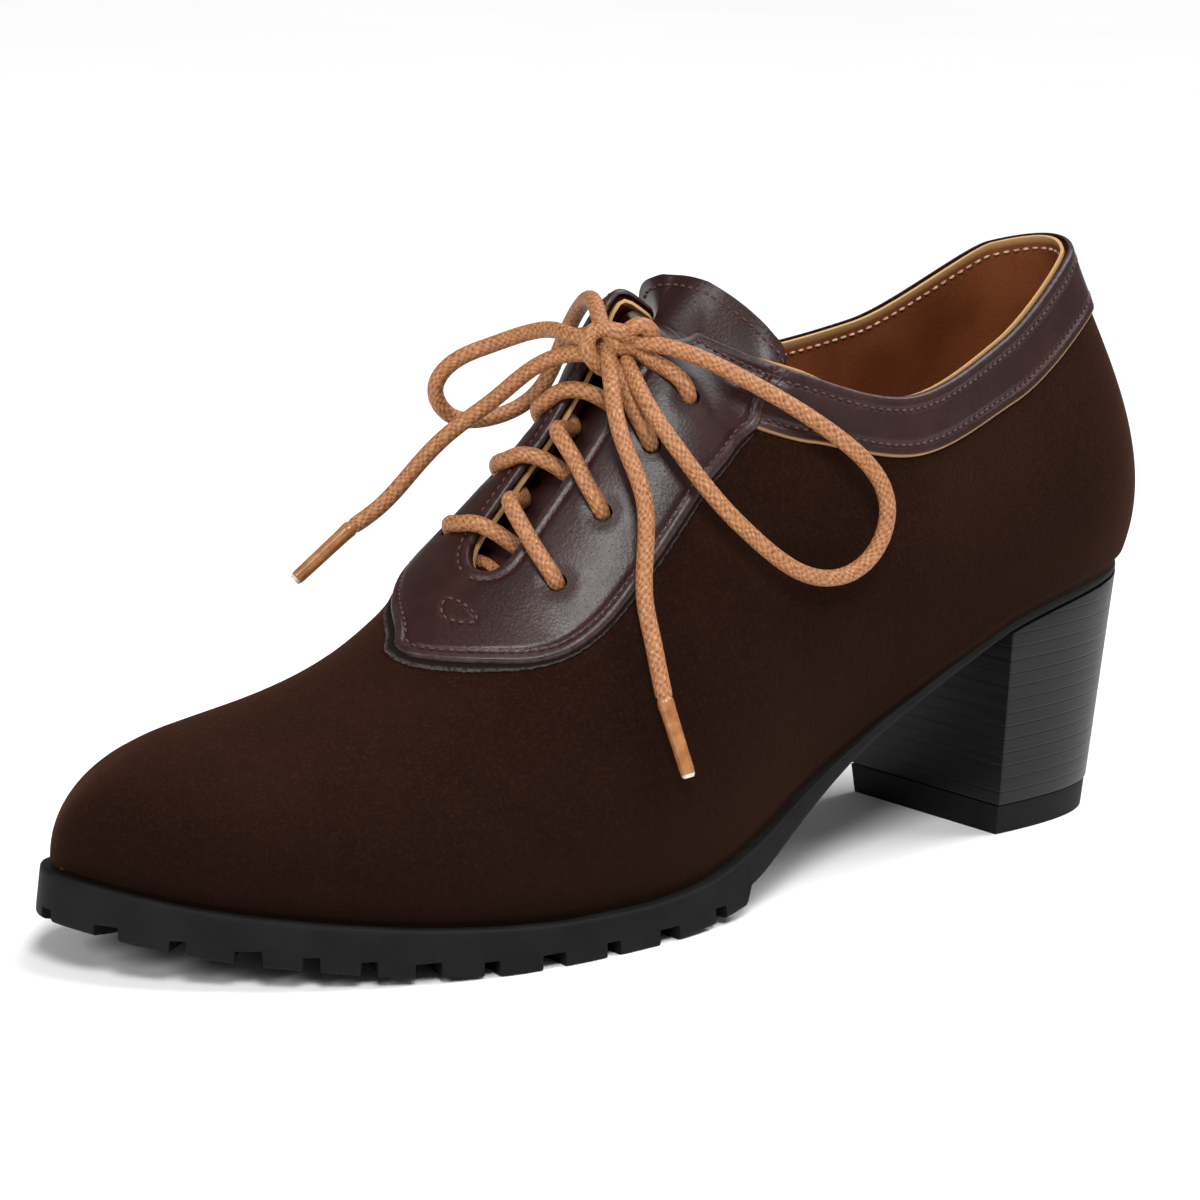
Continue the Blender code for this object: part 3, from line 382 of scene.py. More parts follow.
def closed_last(section, share, side):
    """Points (x, s, z) of the upper's outer face before the lace slot is cut.

    Side is 1 on the outer side and -1 on the inner one.
    """
    section, share = np.broadcast_arrays(np.asarray(section, float), np.asarray(share, float))
    row = section_values(section, side)
    flare, lean, bearing = np.radians(row["flare"]), np.radians(row["lean"]), np.radians(row["bearing"])
    foot, outward = seat(section, side)
    start = np.concatenate([foot, table_at(SEAT_LINE, foot[..., 1])[..., None]], axis=-1)
    low = np.concatenate([outward * np.sin(flare)[..., None], np.cos(flare)[..., None]], axis=-1)
    end_x = table_at(RIDGE_LINE, row["edge_s"]) + side * row["edge"]
    end = np.stack([end_x, row["edge_s"], row["top"]], axis=-1)
    face_x = side * np.sin(bearing)
    face_s = np.cos(bearing)
    tilt = np.where(section < SLOT_END, RIDGE_SLOPE * face_s, 0) + np.tan(np.radians(row["cant"])) * face_x
    high_z = -np.cos(lean) - tilt * np.sin(lean)
    high = np.stack([face_x * np.sin(lean), face_s * np.sin(lean), high_z], axis=-1)
    handle_1 = start + row["rise"][..., None] * low
    handle_2 = end + row["reach"][..., None] * high
    v = share[..., None]
    g = 1 - v
    return g**3 * start + 3 * g**2 * v * handle_1 + 3 * g * v**2 * handle_2 + v**3 * end


def slot_half(section):
    """Half width of the lace slot, round at its lower end."""
    edge_s = section_values(section, 1)["edge_s"]
    opening = np.clip((column("edge_s")[SLOT_END] - edge_s) / SLOT_ROUND, 0, 1)
    width = SLOT_HALF + (SLOT_TOP_HALF - SLOT_HALF) * (section - SLOT_END) / (THROAT - SLOT_END)
    return width * np.sqrt(1 - (1 - opening)**2)


@functools.lru_cache(maxsize=None)
def slot_edge(side):
    """Sections past the slot's lower end, and the share of their height at which the slot's edge lies."""
    sections = SLOT_END + (TOP_CORNER - SLOT_END) * np.linspace(0, 1, 240)**2
    levels = np.linspace(0.7, 1, 121)
    across = np.abs(closed_last(sections[:, None], levels[None, :], side)[..., 0])
    half = slot_half(sections)
    shares = [np.interp(-half[i], -across[i], levels) for i in range(len(sections))]
    return sections, np.array(shares)


def skin(section, share, side, height=0, slot=True):
    """Points at a height over the upper's outer face; a negative height lies inside it.

    Share 1 is the ridge or the opening's edge, or the middle line where the slot is left out.
    """
    section = np.asarray(section, float)
    end = np.interp(section, *slot_edge(side)) if slot else 1
    section, level = np.broadcast_arrays(section, share * end)
    step = 0.004
    below = np.minimum(level, 0.98)
    along = closed_last(section + step, below, side) - closed_last(section - step, below, side)
    up = closed_last(section, np.minimum(level + step, 1), side)
    up = up - closed_last(section, np.maximum(level - step, 0), side)
    normal = -side * np.cross(along, up)
    normal = normal / np.linalg.norm(normal, axis=-1, keepdims=True)
    points = closed_last(section, level, side) + np.asarray(height, float)[..., None] * normal
    if side < 0:
        reach = level / np.interp(section, *slot_edge(side))
        lift = hill(section, THROAT, CORNER_HALF) * soft_step(reach, *CORNER_SHARES)
        points = points + lift[..., None] * np.array(CORNER_LIFT)
    return points


def place(points):
    """World place in metres of points (x, s, z)."""
    points = np.asarray(points, float)
    return np.stack([points[..., 0] - CENTRE_X, CENTRE_S - points[..., 1], points[..., 2]], axis=-1) * MM


def natural_curve(knots, points):
    """Smooth open curve through points, as a function of the running knot."""
    points = np.asarray(points, float)
    count = len(points)
    gap = np.diff(knots)
    matrix = np.eye(count)
    bend = np.zeros_like(points)
    for i in range(1, count - 1):
        matrix[i, i - 1:i + 2] = (gap[i - 1], 2 * (gap[i - 1] + gap[i]), gap[i])
        bend[i] = 6 * ((points[i + 1] - points[i]) / gap[i] - (points[i] - points[i - 1]) / gap[i - 1])
    second = np.linalg.solve(matrix, bend)

    def at(length):
        i = np.clip(np.searchsorted(knots, length, side="right") - 1, 0, count - 2)
        h = gap[i][:, None]
        f = ((length - knots[i]) / gap[i])[:, None]
        g = 1 - f
        swing = ((g**3 - g) * second[i] + (f**3 - f) * second[i + 1]) * h**2 / 6
        return g * points[i] + f * points[i + 1] + swing

    return at


def run_lengths(points):
    """Length of a line up to each of its points."""
    return np.concatenate([[0], np.cumsum(np.linalg.norm(np.diff(points, axis=0), axis=1))])


def evenly(points, step):
    """Points of a line at even steps along it."""
    length = run_lengths(points)
    at = np.linspace(0, length[-1], max(3, int(round(length[-1] / step)) + 1))
    return np.stack([np.interp(at, length, points[:, axis]) for axis in range(points.shape[1])], axis=1)


def smooth_route(points, step):
    """Even points on a smooth open curve through a short route."""
    points = np.asarray(points, float)
    knots = run_lengths(points)
    return evenly(natural_curve(knots, points)(np.linspace(0, knots[-1], 600)), step)


def both_sides(sections, make):
    """Columns of points from the toe tip down the outer side and back up the inner one."""
    outer = make(sections, 1)
    inner = make(sections[1:-1], -1)
    return np.concatenate([outer, inner[::-1]])


def share_ridge(grid, sections):
    """Give the two sides of the closed vamp the same points on the ridge and one point at the toe's top."""
    count = len(sections)
    for i in range(1, count - 1):
        if sections[i] <= SLOT_END:
            twin = len(grid) - i
            middle = (grid[i, -1] + grid[twin, -1]) / 2
            grid[i, -1] = middle
            grid[twin, -1] = middle
    toe = int(np.searchsorted(sections, TOE_BACK))
    for i in range(toe):
        grid[i, -1] = grid[toe, -1]
        grid[-i, -1] = grid[toe, -1]
    return grid


def sole_top(s):
    return table_at(SEAT_LINE, s) - GAP


def waist_low(s):
    return sole_top(s) - table_at(WAIST_THICK, s)


def lug_low(s):
    return table_at(LUG_BOTTOM, s)


def section_at_station(station):
    """Section number whose sole edge lies at a station, behind the toe."""
    numbers = np.linspace(TOE_BACK, BACK, 2201)
    stations = seat(numbers, 1)[0][:, 1]
    return float(np.interp(-station, -stations, numbers))


def notch_places(last):
    """Side, section and width of each notch, from the toe back to the last section on both sides."""
    places = []
    for side in (1, -1):
        sections = np.linspace(0, last, 601)
        edge = seat(sections, side, np.full(len(sections), NOTCH_LINE))[0]
        run = run_lengths(edge)
        for number in range(0 if side > 0 else 1, NOTCH_RUN[-1][0] + 1):
            width = NOTCH_WIDE if number in NOTCH_BROAD else NOTCH_NARROW
            distance = float(table_at(NOTCH_RUN, number))
            if distance < run[-1] - width:
                places.append((side, float(np.interp(distance, run, sections)), width))
    return places


class Value:
    """A socket of a material's nodes that takes part in sums."""

    def __init__(self, tree, socket):
        self.tree = tree
        self.socket = socket

    def math(self, operation, other=0, turned=False):
        node = self.tree.nodes.new("ShaderNodeMath")
        node.operation = operation
        pair = (other, self) if turned else (self, other)
        for socket, part in zip(node.inputs, pair):
            if isinstance(part, Value):
                self.tree.links.new(part.socket, socket)
            else:
                socket.default_value = part
        return Value(self.tree, node.outputs[0])

    def __add__(self, other):
        return self.math("ADD", other)

    def __sub__(self, other):
        return self.math("SUBTRACT", other)

    def __rsub__(self, other):
        return self.math("SUBTRACT", other, True)

    def __mul__(self, other):
        return self.math("MULTIPLY", other)

    __radd__ = __add__
    __rmul__ = __mul__

    def wave(self):
        return self.math("SINE")


class Finish:
    """A material under making."""

    def __init__(self, name):
        self.material = bpy.data.materials.new(name)
        self.material.use_nodes = True
        self.tree = self.material.node_tree
        self.surface = self.tree.nodes["Principled BSDF"]

    def node(self, kind, settings=None, links=None, output=0):
        """Any node: its type, settings, socket values or links, and the output to read."""
        node = self.tree.nodes.new("ShaderNode" + kind)
        for name, setting in (settings or {}).items():
            setattr(node, name, setting)
        for socket, value in (links or {}).items():
            if isinstance(value, Value):
                self.tree.links.new(value.socket, node.inputs[socket])
            else:
                node.inputs[socket].default_value = value
        return Value(self.tree, node.outputs[output])

    def place(self):
        return self.node("TexCoord", output="Object")

    def stretched(self, scale):
        return self.node("Mapping", links={"Vector": self.place(), "Scale": scale})

    def mark(self, name):
        """A value kept on the piece's points."""
        return self.node("Attribute", {"attribute_name": name}, output="Fac")

    def noise(self, scale, detail=3, rough=0.55, vector=None):
        links = {"Vector": vector or self.place(), "Scale": scale, "Detail": detail, "Roughness": rough}
        return self.node("TexNoise", links=links)

    def cells(self, scale):
        return self.node("TexVoronoi", links={"Vector": self.place(), "Scale": scale}, output="Distance")

    def step(self, value, low, high):
        """Soft step from 0 to 1 between two values."""
        links = {"Value": value, "From Min": low, "From Max": high}
        return self.node("MapRange", {"interpolation_type": "SMOOTHSTEP"}, links)

    def blend(self, share, first, second):
        """Colour between two colours."""
        colours = [part if isinstance(part, Value) else (*part, 1) for part in (first, second)]
        links = {MIX_SHARE: share, MIX_FIRST: colours[0], MIX_SECOND: colours[1]}
        return self.node("Mix", {"data_type": "RGBA"}, links, MIX_RESULT)

    def bump(self, height, depth, strength):
        """Normal of a relief whose height 1 is depth millimetres."""
        return self.node("Bump", links={"Height": height, "Distance": depth * MM, "Strength": strength})

    def set(self, **values):
        """Give the surface its values; the material comes back."""
        for name, value in values.items():
            socket = self.surface.inputs[name.replace("_", " ")]
            if isinstance(value, Value):
                self.tree.links.new(value.socket, socket)
            else:
                socket.default_value = (*value, 1) if isinstance(value, tuple) else value
        return self.material


def deselect():
    if bpy.context.object and bpy.context.object.mode != "OBJECT":
        bpy.ops.object.mode_set(mode="OBJECT")
    bpy.ops.object.select_all(action="DESELECT")


def choose(piece):
    """Select one piece alone."""
    deselect()
    piece.select_set(True)
    bpy.context.view_layer.objects.active = piece


def close_up(piece, drop=None):
    """Take out marked faces, merge the points that meet and turn all faces outwards."""
    choose(piece)
    mesh = piece.data
    for group in (mesh.vertices, mesh.edges, mesh.polygons):
        group.foreach_set("select", np.zeros(len(group), bool))
    if drop is not None:
        mesh.polygons.foreach_set("select", drop)
    bpy.ops.object.mode_set(mode="EDIT")
    bpy.ops.mesh.select_mode(type="FACE")
    if drop is not None:
        bpy.ops.mesh.delete(type="FACE")
    bpy.ops.mesh.select_mode(type="VERT")
    bpy.ops.mesh.select_all(action="SELECT")
    bpy.ops.mesh.remove_doubles(threshold=MERGE_GAP)
    bpy.ops.mesh.dissolve_degenerate(threshold=SHORT_EDGE)
    bpy.ops.mesh.select_all(action="SELECT")
    bpy.ops.mesh.normals_make_consistent(inside=False)
    bpy.ops.object.mode_set(mode="OBJECT")


def woven(name, points, marks=None, uv=None, drop=None):
    """A piece from a grid of points (x, s, z), columns by rows, with values kept on its points."""
    columns, rows = points.shape[:2]
    deselect()
    bpy.ops.mesh.primitive_grid_add(x_subdivisions=rows - 1, y_subdivisions=columns - 1, size=0.1)
    piece = bpy.context.object
    piece.name = name
    mesh = piece.data
    mesh.name = name
    mesh.vertices.foreach_set("co", place(points).reshape(-1))
    if uv is not None:
        corner = np.zeros(len(mesh.loops), int)
        mesh.loops.foreach_get("vertex_index", corner)
        mesh.uv_layers.active.data.foreach_set("uv", uv.reshape(-1, 2)[corner].reshape(-1))
    for mark, values in (marks or {}).items():
        mesh.attributes.new(mark, "FLOAT", "POINT").data.foreach_set("value", np.ravel(values))
    close_up(piece, drop)
    return piece


def thicken(piece, thickness):
    """Give a sheet a wall on its inner side."""
    choose(piece)
    bpy.ops.object.modifier_add(type="SOLIDIFY")
    wall = piece.modifiers[-1]
    wall.thickness = thickness * MM
    wall.offset = -1
    bpy.ops.object.modifier_apply(modifier=wall.name)


def ease_edges(piece, width, angle=50):
    """Round the sharp edges of a piece."""
    choose(piece)
    bpy.ops.object.modifier_add(type="BEVEL")
    ease = piece.modifiers[-1]
    ease.width = width * MM
    ease.segments = 3
    ease.limit_method = "ANGLE"
    ease.angle_limit = math.radians(angle)
    bpy.ops.object.modifier_apply(modifier=ease.name)


def cut_away(piece, tool):
    """Cut one piece with another, which stays."""
    choose(piece)
    bpy.ops.object.modifier_add(type="BOOLEAN")
    cut = piece.modifiers[-1]
    cut.operation = "DIFFERENCE"
    cut.solver = "EXACT"
    cut.object = tool
    bpy.ops.object.modifier_apply(modifier=cut.name)


def throw_out(piece):
    choose(piece)
    bpy.ops.object.delete()


def join(pieces, name):
    deselect()
    for piece in pieces:
        piece.select_set(True)
    bpy.context.view_layer.objects.active = pieces[0]
    bpy.ops.object.join()
    joined = bpy.context.object
    joined.name = name
    joined.data.name = name
    return joined


def hand_over(piece, look, nodes=(), angle=40):
    """Shade, colour and fix a finished piece to the shoe."""
    choose(piece)
    bpy.ops.object.shade_smooth_by_angle(angle=math.radians(angle))
    piece.data.materials.clear()
    piece.data.materials.append(look)
    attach(piece, "root")
    if nodes:
        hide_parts(*nodes)
    return piece


def distance_to(points, line):
    """Shortest distance of each point of a grid from a line of points."""
    flat = points.reshape(-1, 3)
    run = np.diff(line, axis=0)
    long = np.maximum((run * run).sum(-1), 1e-12)
    found = []
    for part in np.array_split(flat, max(1, len(flat) // 1500)):
        along = np.clip(((part[:, None] - line[:-1]) * run).sum(-1) / long, 0, 1)
        found.append(np.linalg.norm(part[:, None] - line[:-1] - along[..., None] * run, axis=-1).min(1))
    return np.concatenate(found).reshape(points.shape[:-1])


def soft_step(value, low, high):
    f = np.clip((np.asarray(value, float) - low) / (high - low), 0, 1)
    return f * f * (3 - 2 * f)


def hill(value, middle, half):
    """Soft hill of height 1 round a middle value."""
    f = np.clip(np.abs(np.asarray(value, float) - middle) / half, 0, 1)
    return (1 - f * f)**2


def quarter_round(distance, radius):
    """Height share of a rounded edge at a distance from it."""
    f = np.clip(distance / radius, 0, 1)
    return np.sqrt(1 - (1 - f)**2)


def cosine_rows(count):
    """Shares from 0 to 1, closest together at both ends."""
    return 0.5 - 0.5 * np.cos(np.pi * np.linspace(0, 1, count))


def fine_sections(per):
    """Section numbers of fine columns on one side, closer together round the slot's lower end."""
    share = np.arange(per) / per
    parts = [i + (share**2 if i == SLOT_END else share) for i in range(BACK)]
    return np.append(np.concatenate(parts), BACK)


def cord_rings(points, radii, sides):
    """Rings of points round a line, without twist, and the lengths along it."""
    ahead = np.gradient(points, axis=0)
    ahead = ahead / np.linalg.norm(ahead, axis=1, keepdims=True)
    across = np.cross(ahead[0], (0.3, 0.5, 0.8))
    rings = []
    turn = np.linspace(0, 2 * np.pi, sides + 1)
    for point, way, radius in zip(points, ahead, radii):
        across = across - way * (across @ way)
        across = across / np.linalg.norm(across)
        third = np.cross(way, across)
        rings.append(point + radius * (np.cos(turn)[:, None] * across + np.sin(turn)[:, None] * third))
    return np.array(rings), run_lengths(points)


def cord(name, points, radius, sides=14, round_ends=True):
    """Round lace with closed ends. Its map runs round it and along it in centimetres."""
    points = np.asarray(points, float)
    radii = np.broadcast_to(np.asarray(radius, float), len(points))
    if round_ends:
        reach = run_lengths(points)
        ends = np.minimum(reach, reach[-1] - reach)
        radii = radii * np.maximum(0.72, quarter_round(ends + 0.35 * radii, 1.2 * radii))
    rings, length = cord_rings(points, radii, sides)
    caps = [np.repeat(points[i][None, None], sides + 1, axis=1) for i in (0, -1)]
    grid = np.concatenate([caps[0], rings, caps[1]])
    length = np.concatenate([length[:1], length, length[-1:]])
    around = np.broadcast_to(np.linspace(0, 1, sides + 1), grid.shape[:2])
    along = np.broadcast_to(length[:, None] / 10, grid.shape[:2])
    return woven(name, grid, uv=np.stack([around, along], axis=-1))


def suede_finish():
    """Even brown-black suede with a short nap, fine light specks and a warm sheen, darkened towards the sole
    with painted shade.
    """
    look = Finish("suede nap")
    broad = look.noise(38, 3, 0.55)
    patch = look.noise(260, 4, 0.62)
    fine = look.noise(1500, 3, 0.6)
    fibre = look.noise(4200, 2, 0.5)
    warm = look.step(broad * 0.55 + patch * 0.45, 0.34, 0.68)
    colour = look.blend(warm, (0.0086, 0.0028, 0.0016), (0.013, 0.0044, 0.0025))
    colour = look.blend(look.step(fine, 0.46, 0.74) * 0.6, colour, (0.027, 0.0101, 0.006))
    colour = look.blend(look.step(fibre, 0.66, 0.8) * 0.35, colour, (0.058, 0.025, 0.016))
    # The mark low darkens the suede towards the sole and along its seam with the sole: painted shade.
    colour = look.blend(look.mark("low") * 0.9, colour, (0.0036, 0.0012, 0.0008))
    normal = look.bump(patch * 0.25 + fine * 0.45 + fibre * 0.35, 0.45, 0.7)
    look.set(Sheen_Weight=0.085, Sheen_Roughness=0.5, Sheen_Tint=(0.62, 0.25, 0.13), Specular_IOR_Level=0.04)
    return look.set(Base_Color=colour, Roughness=0.9 + 0.08 * patch, Normal=normal)


def leather_finish():
    """Smooth waxed red-brown leather with pores, fine wrinkles and paler rubbed edges."""
    look = Finish("dark leather")
    cloud = look.noise(95, 4, 0.6)
    grain = look.cells(1500)
    pores = look.step(look.cells(2600), 0.0, 0.32)
    wrinkle = look.noise(420, 4, 0.65, look.stretched((1, 1.6, 0.8)))
    colour = look.blend(look.step(cloud, 0.35, 0.7), (0.0168, 0.0044, 0.004), (0.025, 0.0075, 0.0064))
    rubbed = look.mark("rubbed")
    raw = look.mark("raw")
    colour = look.blend(rubbed * look.step(look.noise(700, 3), 0.3, 0.7) * 0.45, colour, (0.07, 0.046, 0.041))
    colour = look.blend(raw, colour, (0.36, 0.19, 0.085))
    height = grain * 0.3 + pores * 0.35 + wrinkle * 0.5
    normal = look.bump(height, 0.2, 0.5)
    gloss = 0.3 + 0.14 * look.noise(240, 3) + 0.25 * raw
    look.set(Coat_Roughness=0.24, Specular_IOR_Level=0.27)
    return look.set(Base_Color=colour, Roughness=gloss, Coat_Weight=0.06 * (1 - raw), Normal=normal)


def cut_rim_and_painted_shadow_finish():
    """Layer under the shield, dark as a painted shadow of the gap under the shield's edge, with a rough grey
    cut rim.
    """
    look = Finish("cut leather rim and painted shadow")
    rough = look.noise(1500, 3, 0.65)
    rim = look.mark("rim") * look.step(rough, 0.25, 0.65)
    # Dark colour: painted shadow of the gap under the shield's edge. Grey rim: the layer's cut edge.
    colour = look.blend(rim, (0.0045, 0.002, 0.0017), (0.075, 0.058, 0.053))
    look.set(Specular_IOR_Level=0.1)
    return look.set(Base_Color=colour, Roughness=0.8 + 0.1 * rough, Normal=look.bump(rough, 0.4, 0.6))


def lining_finish():
    """Caramel lining leather, matt, with a raw golden edge."""
    look = Finish("tan lining")
    cloud = look.noise(70, 4, 0.6)
    colour = look.blend(look.step(cloud, 0.3, 0.72), (0.155, 0.0365, 0.0088), (0.205, 0.055, 0.0142))
    speck = look.step(look.noise(1700, 2), 0.6, 0.75)
    colour = look.blend(speck * 0.35, colour, (0.095, 0.024, 0.006))
    colour = look.blend(look.mark("raw"), colour, (0.5, 0.29, 0.12))
    normal = look.bump(look.noise(1200, 3) * 0.6 + look.cells(2000) * 0.4, 0.18, 0.5)
    look.set(Specular_IOR_Level=0.3)
    return look.set(Base_Color=colour, Roughness=0.62 + 0.15 * cloud, Normal=normal)


def rubber_finish():
    """Charcoal moulded rubber, matt, with fine dust and scuffs."""
    look = Finish("black rubber")
    cloud = look.noise(120, 4, 0.6)
    dust = look.step(look.noise(2400, 2), 0.62, 0.78)
    colour = look.blend(look.step(cloud, 0.35, 0.7), (0.0046, 0.0046, 0.0048), (0.0076, 0.0075, 0.0074))
    colour = look.blend(dust * 0.2, colour, (0.03, 0.0295, 0.0285))
    normal = look.bump(look.noise(2600, 3) * 0.6 + look.noise(500, 2) * 0.4, 0.12, 0.5)
    look.set(Specular_IOR_Level=0.1)
    return look.set(Base_Color=colour, Roughness=0.55 + 0.2 * cloud, Normal=normal)


def stack_finish():
    """Black polished heel with the fine level lines of its layers."""
    look = Finish("heel stack")
    z = look.node("SeparateXYZ", links={"Vector": look.place()}, output="Z")
    streaks = {"W": z * 900 + look.noise(30, 2) * 0.25, "Scale": 1, "Detail": 3, "Roughness": 0.6}
    layer = look.node("TexNoise", {"noise_dimensions": "1D"}, streaks)
    layer_step = 0.0028
    line = look.step((z * (2 * math.pi / layer_step)).wave(), 0.86, 1.0)
    colour = look.blend(look.step(layer, 0.3, 0.7), (0.0034, 0.0033, 0.0034), (0.0065, 0.0062, 0.006))
    colour = look.blend(line * 0.5, colour, (0.002, 0.002, 0.002))
    normal = look.bump(layer * 0.5 - line * 0.6 + look.noise(1800, 2) * 0.15, 0.14, 0.6)
    look.set(Specular_IOR_Level=0.15)
    return look.set(Base_Color=colour, Roughness=0.33 + 0.14 * layer, Normal=normal)


def lace_finish():
    """Waxed round braid: slanting uneven plaits with painted shade in the gaps between them and painted
    highlights on their crests.
    """
    look = Finish("waxed lace")
    uv = look.node("UVMap")
    around, along = (look.node("SeparateXYZ", links={"Vector": uv}, output=i) for i in range(2))
    turn = 2 * math.pi
    sway = look.noise(330, 2)
    across = (around * (7 * turn) + along * 5 + sway * 11).wave()
    plait = across * (along * (turn / 0.16) + around * turn + look.noise(420, 2) * 11).wave()
    patch = look.noise(700, 3, 0.6)
    # Colour varies at random and is lighter on the plaits' crests, partly a painted highlight.
    warm = look.step(plait * 0.8 + patch * 1.6 - 0.8, -0.7, 0.8)
    colour = look.blend(warm, (0.245, 0.091, 0.029), (0.37, 0.164, 0.065))
    # Pale marks on the plaits' crests: painted highlights.
    pale = look.step(plait, 0.3, 0.95) * look.step(look.noise(1100, 2), 0.46, 0.64)
    colour = look.blend(pale * 0.55, colour, (0.55, 0.33, 0.185))
    # Dark marks in the gaps between plaits: painted shade.
    gap = look.step(plait * -1, 0.3, 0.95) * look.step(look.noise(900, 2), 0.4, 0.6)
    colour = look.blend(gap * 0.75, colour, (0.095, 0.029, 0.009))
    normal = look.bump(plait * 0.5 + look.noise(4800, 2) * 0.4, 0.16, 0.7)
    look.set(Specular_IOR_Level=0.4)
    return look.set(Base_Color=colour, Roughness=0.46 + 0.2 * patch, Normal=normal)


def tip_finish():
    """Amber film drawn tight round the lace's end, with a pale cut rim."""
    look = Finish("lace tip film")
    cloud = look.noise(420, 3)
    along = look.node("SeparateXYZ", links={"Vector": look.node("UVMap")}, output=1)
    colour = look.blend(look.step(cloud, 0.3, 0.7), (0.235, 0.086, 0.024), (0.345, 0.146, 0.05))
    colour = look.blend(look.step(along, 1.47, 1.5), colour, (0.58, 0.52, 0.44))
    normal = look.bump(look.noise(700, 3), 0.14, 0.4)
    look.set(Specular_IOR_Level=0.55)
    return look.set(Base_Color=colour, Roughness=0.2 + 0.12 * cloud, Normal=normal)


def thread_finish(name, dark, pale):
    """Twisted sewing thread."""
    look = Finish(name)
    colour = look.blend(look.step(look.noise(1400, 3), 0.35, 0.65), dark, pale)
    normal = look.bump(look.noise(6000, 2), 0.1, 0.6)
    return look.set(Base_Color=colour, Roughness=0.6 + 0.1 * look.noise(600, 2), Normal=normal)


def dents(section, share, side):
    """Height of the suede's soft creases."""
    section, share = np.broadcast_arrays(section, share)
    height = np.zeros(section.shape)
    here = skin(section, share, side)
    for way, first, second, half, depth in FOLDS:
        if way != side:
            continue
        mix = np.linspace(0, 1, 24)
        line = skin(first[0] + (second[0] - first[0]) * mix, first[1] + (second[1] - first[1]) * mix, side)
        height = height - depth * hill(distance_to(here, line), 0, half)
    return height


def ring(sections, make):
    """Closed ring of columns round the shoe."""
    grid = share_ridge(both_sides(sections, make), sections)
    return np.concatenate([grid, grid[:1]])


def make_suede(look):
    """Suede from the sole edge to just under the rim, tucked in where it meets the sole."""
    sections = fine_sections(12)
    rows = np.concatenate([np.linspace(0, 0.06, 9)[:-1], np.linspace(0.06, 1, 60)])
    low = []

    def face(at, side):
        top = 1 - RIM_SHORT * soft_step(at, SLOT_END - 0.05, SLOT_END + 0.3)
        share = rows[None, :] * top[:, None]
        tuck = -SUEDE_TUCK * (1 - soft_step(share, 0, 0.035))
        grid = skin(at[:, None], share, side, dents(at[:, None], share, side) + tuck)
        grid[:, 0, 2] -= SUEDE_SINK
        # Share of painted shade, strongest at the sole and fading up the side.
        low.append(0.45 * (1 - soft_step(share, 0, 0.14)) + 0.55 * (1 - soft_step(share, 0.1, 0.75)))
        return grid

    points = ring(sections, face)
    shade = np.concatenate([low[0], low[1][::-1]])
    piece = woven("suede_upper", points, {"low": np.concatenate([shade, shade[:1]])})
    thicken(piece, SUEDE_THICK)
    return hand_over(piece, look, ("upper",))


def make_lining(look):
    """Lining inside the suede, up to the rim, where its cut edge shows."""
    sections = fine_sections(10)
    rows = np.linspace(0.03, 1, 34)
    raw = []

    def face(at, side):
        raw.append(np.broadcast_to(soft_step(rows, 0.982, 0.995), (len(at), len(rows))))
        tuck = LINING_TUCK * (1 - soft_step(rows[None, :], 0.03, 0.1))
        grid = skin(at[:, None], rows[None, :], side, -LINING_DEPTH - tuck)
        if side > 0:
            grid[:, -1, 2] += LINING_RISE * hill(at, TOP_CORNER + 0.02, LINING_RISE_HALF)
        return grid

    points = ring(sections, face)
    edge = np.concatenate([raw[0], raw[1][::-1]])
    piece = woven("lining", points, {"raw": np.concatenate([edge, edge[:1]])})
    thicken(piece, LINING_THICK)
    return hand_over(piece, look)


def border_table(rows, side, at):
    """Inner border's section, outer border's section and level at shares of the border's length."""
    rows = np.array(rows, float)
    knots = run_lengths(skin(rows[:, 1], rows[:, 2], side, 0, slot=False))
    outer = natural_curve(knots, rows[:, 1:])(np.asarray(at, float) * knots[-1])
    inner = run_through(knots, rows[:, 0], np.asarray(at, float) * knots[-1])
    outer[:, 1] = np.minimum(outer[:, 1], 1)
    return np.column_stack([inner, outer])


def overlay(table, mix, side):
    """Section and level of the points between two borders, from the outer border (0) to the inner one (1)."""
    end = np.interp(table[:, :1], *slot_edge(side))
    section = table[:, 1:2] + (table[:, :1] - table[:, 1:2]) * mix[None, :]
    return section, table[:, 2:] + (end - table[:, 2:]) * mix[None, :]


def over_skin(section, level, side, height=0):
    """Points over the upper as it is without its slot."""
    return skin(section, level, side, height, slot=False)


def stay_rows(side):
    return STAY_OUTER if side > 0 else STAY_INNER


def lace_holes(side):
    return HOLES_OUTER if side > 0 else HOLES_INNER


@functools.lru_cache(maxsize=None)
def stay_lines(side):
    """Outer border with the seam to the collar band, and the edge along slot and throat."""
    table = border_table(stay_rows(side), side, np.linspace(0, 1, 320))
    outer = over_skin(table[:, 1], table[:, 2], side)
    round_end = SLOT_END + 0.5 * np.linspace(0, 1, 40)**2
    facing = np.linspace(7.52, stay_rows(side)[-1][0], 160)
    return outer, skin(np.concatenate([round_end, facing]), 1, side)


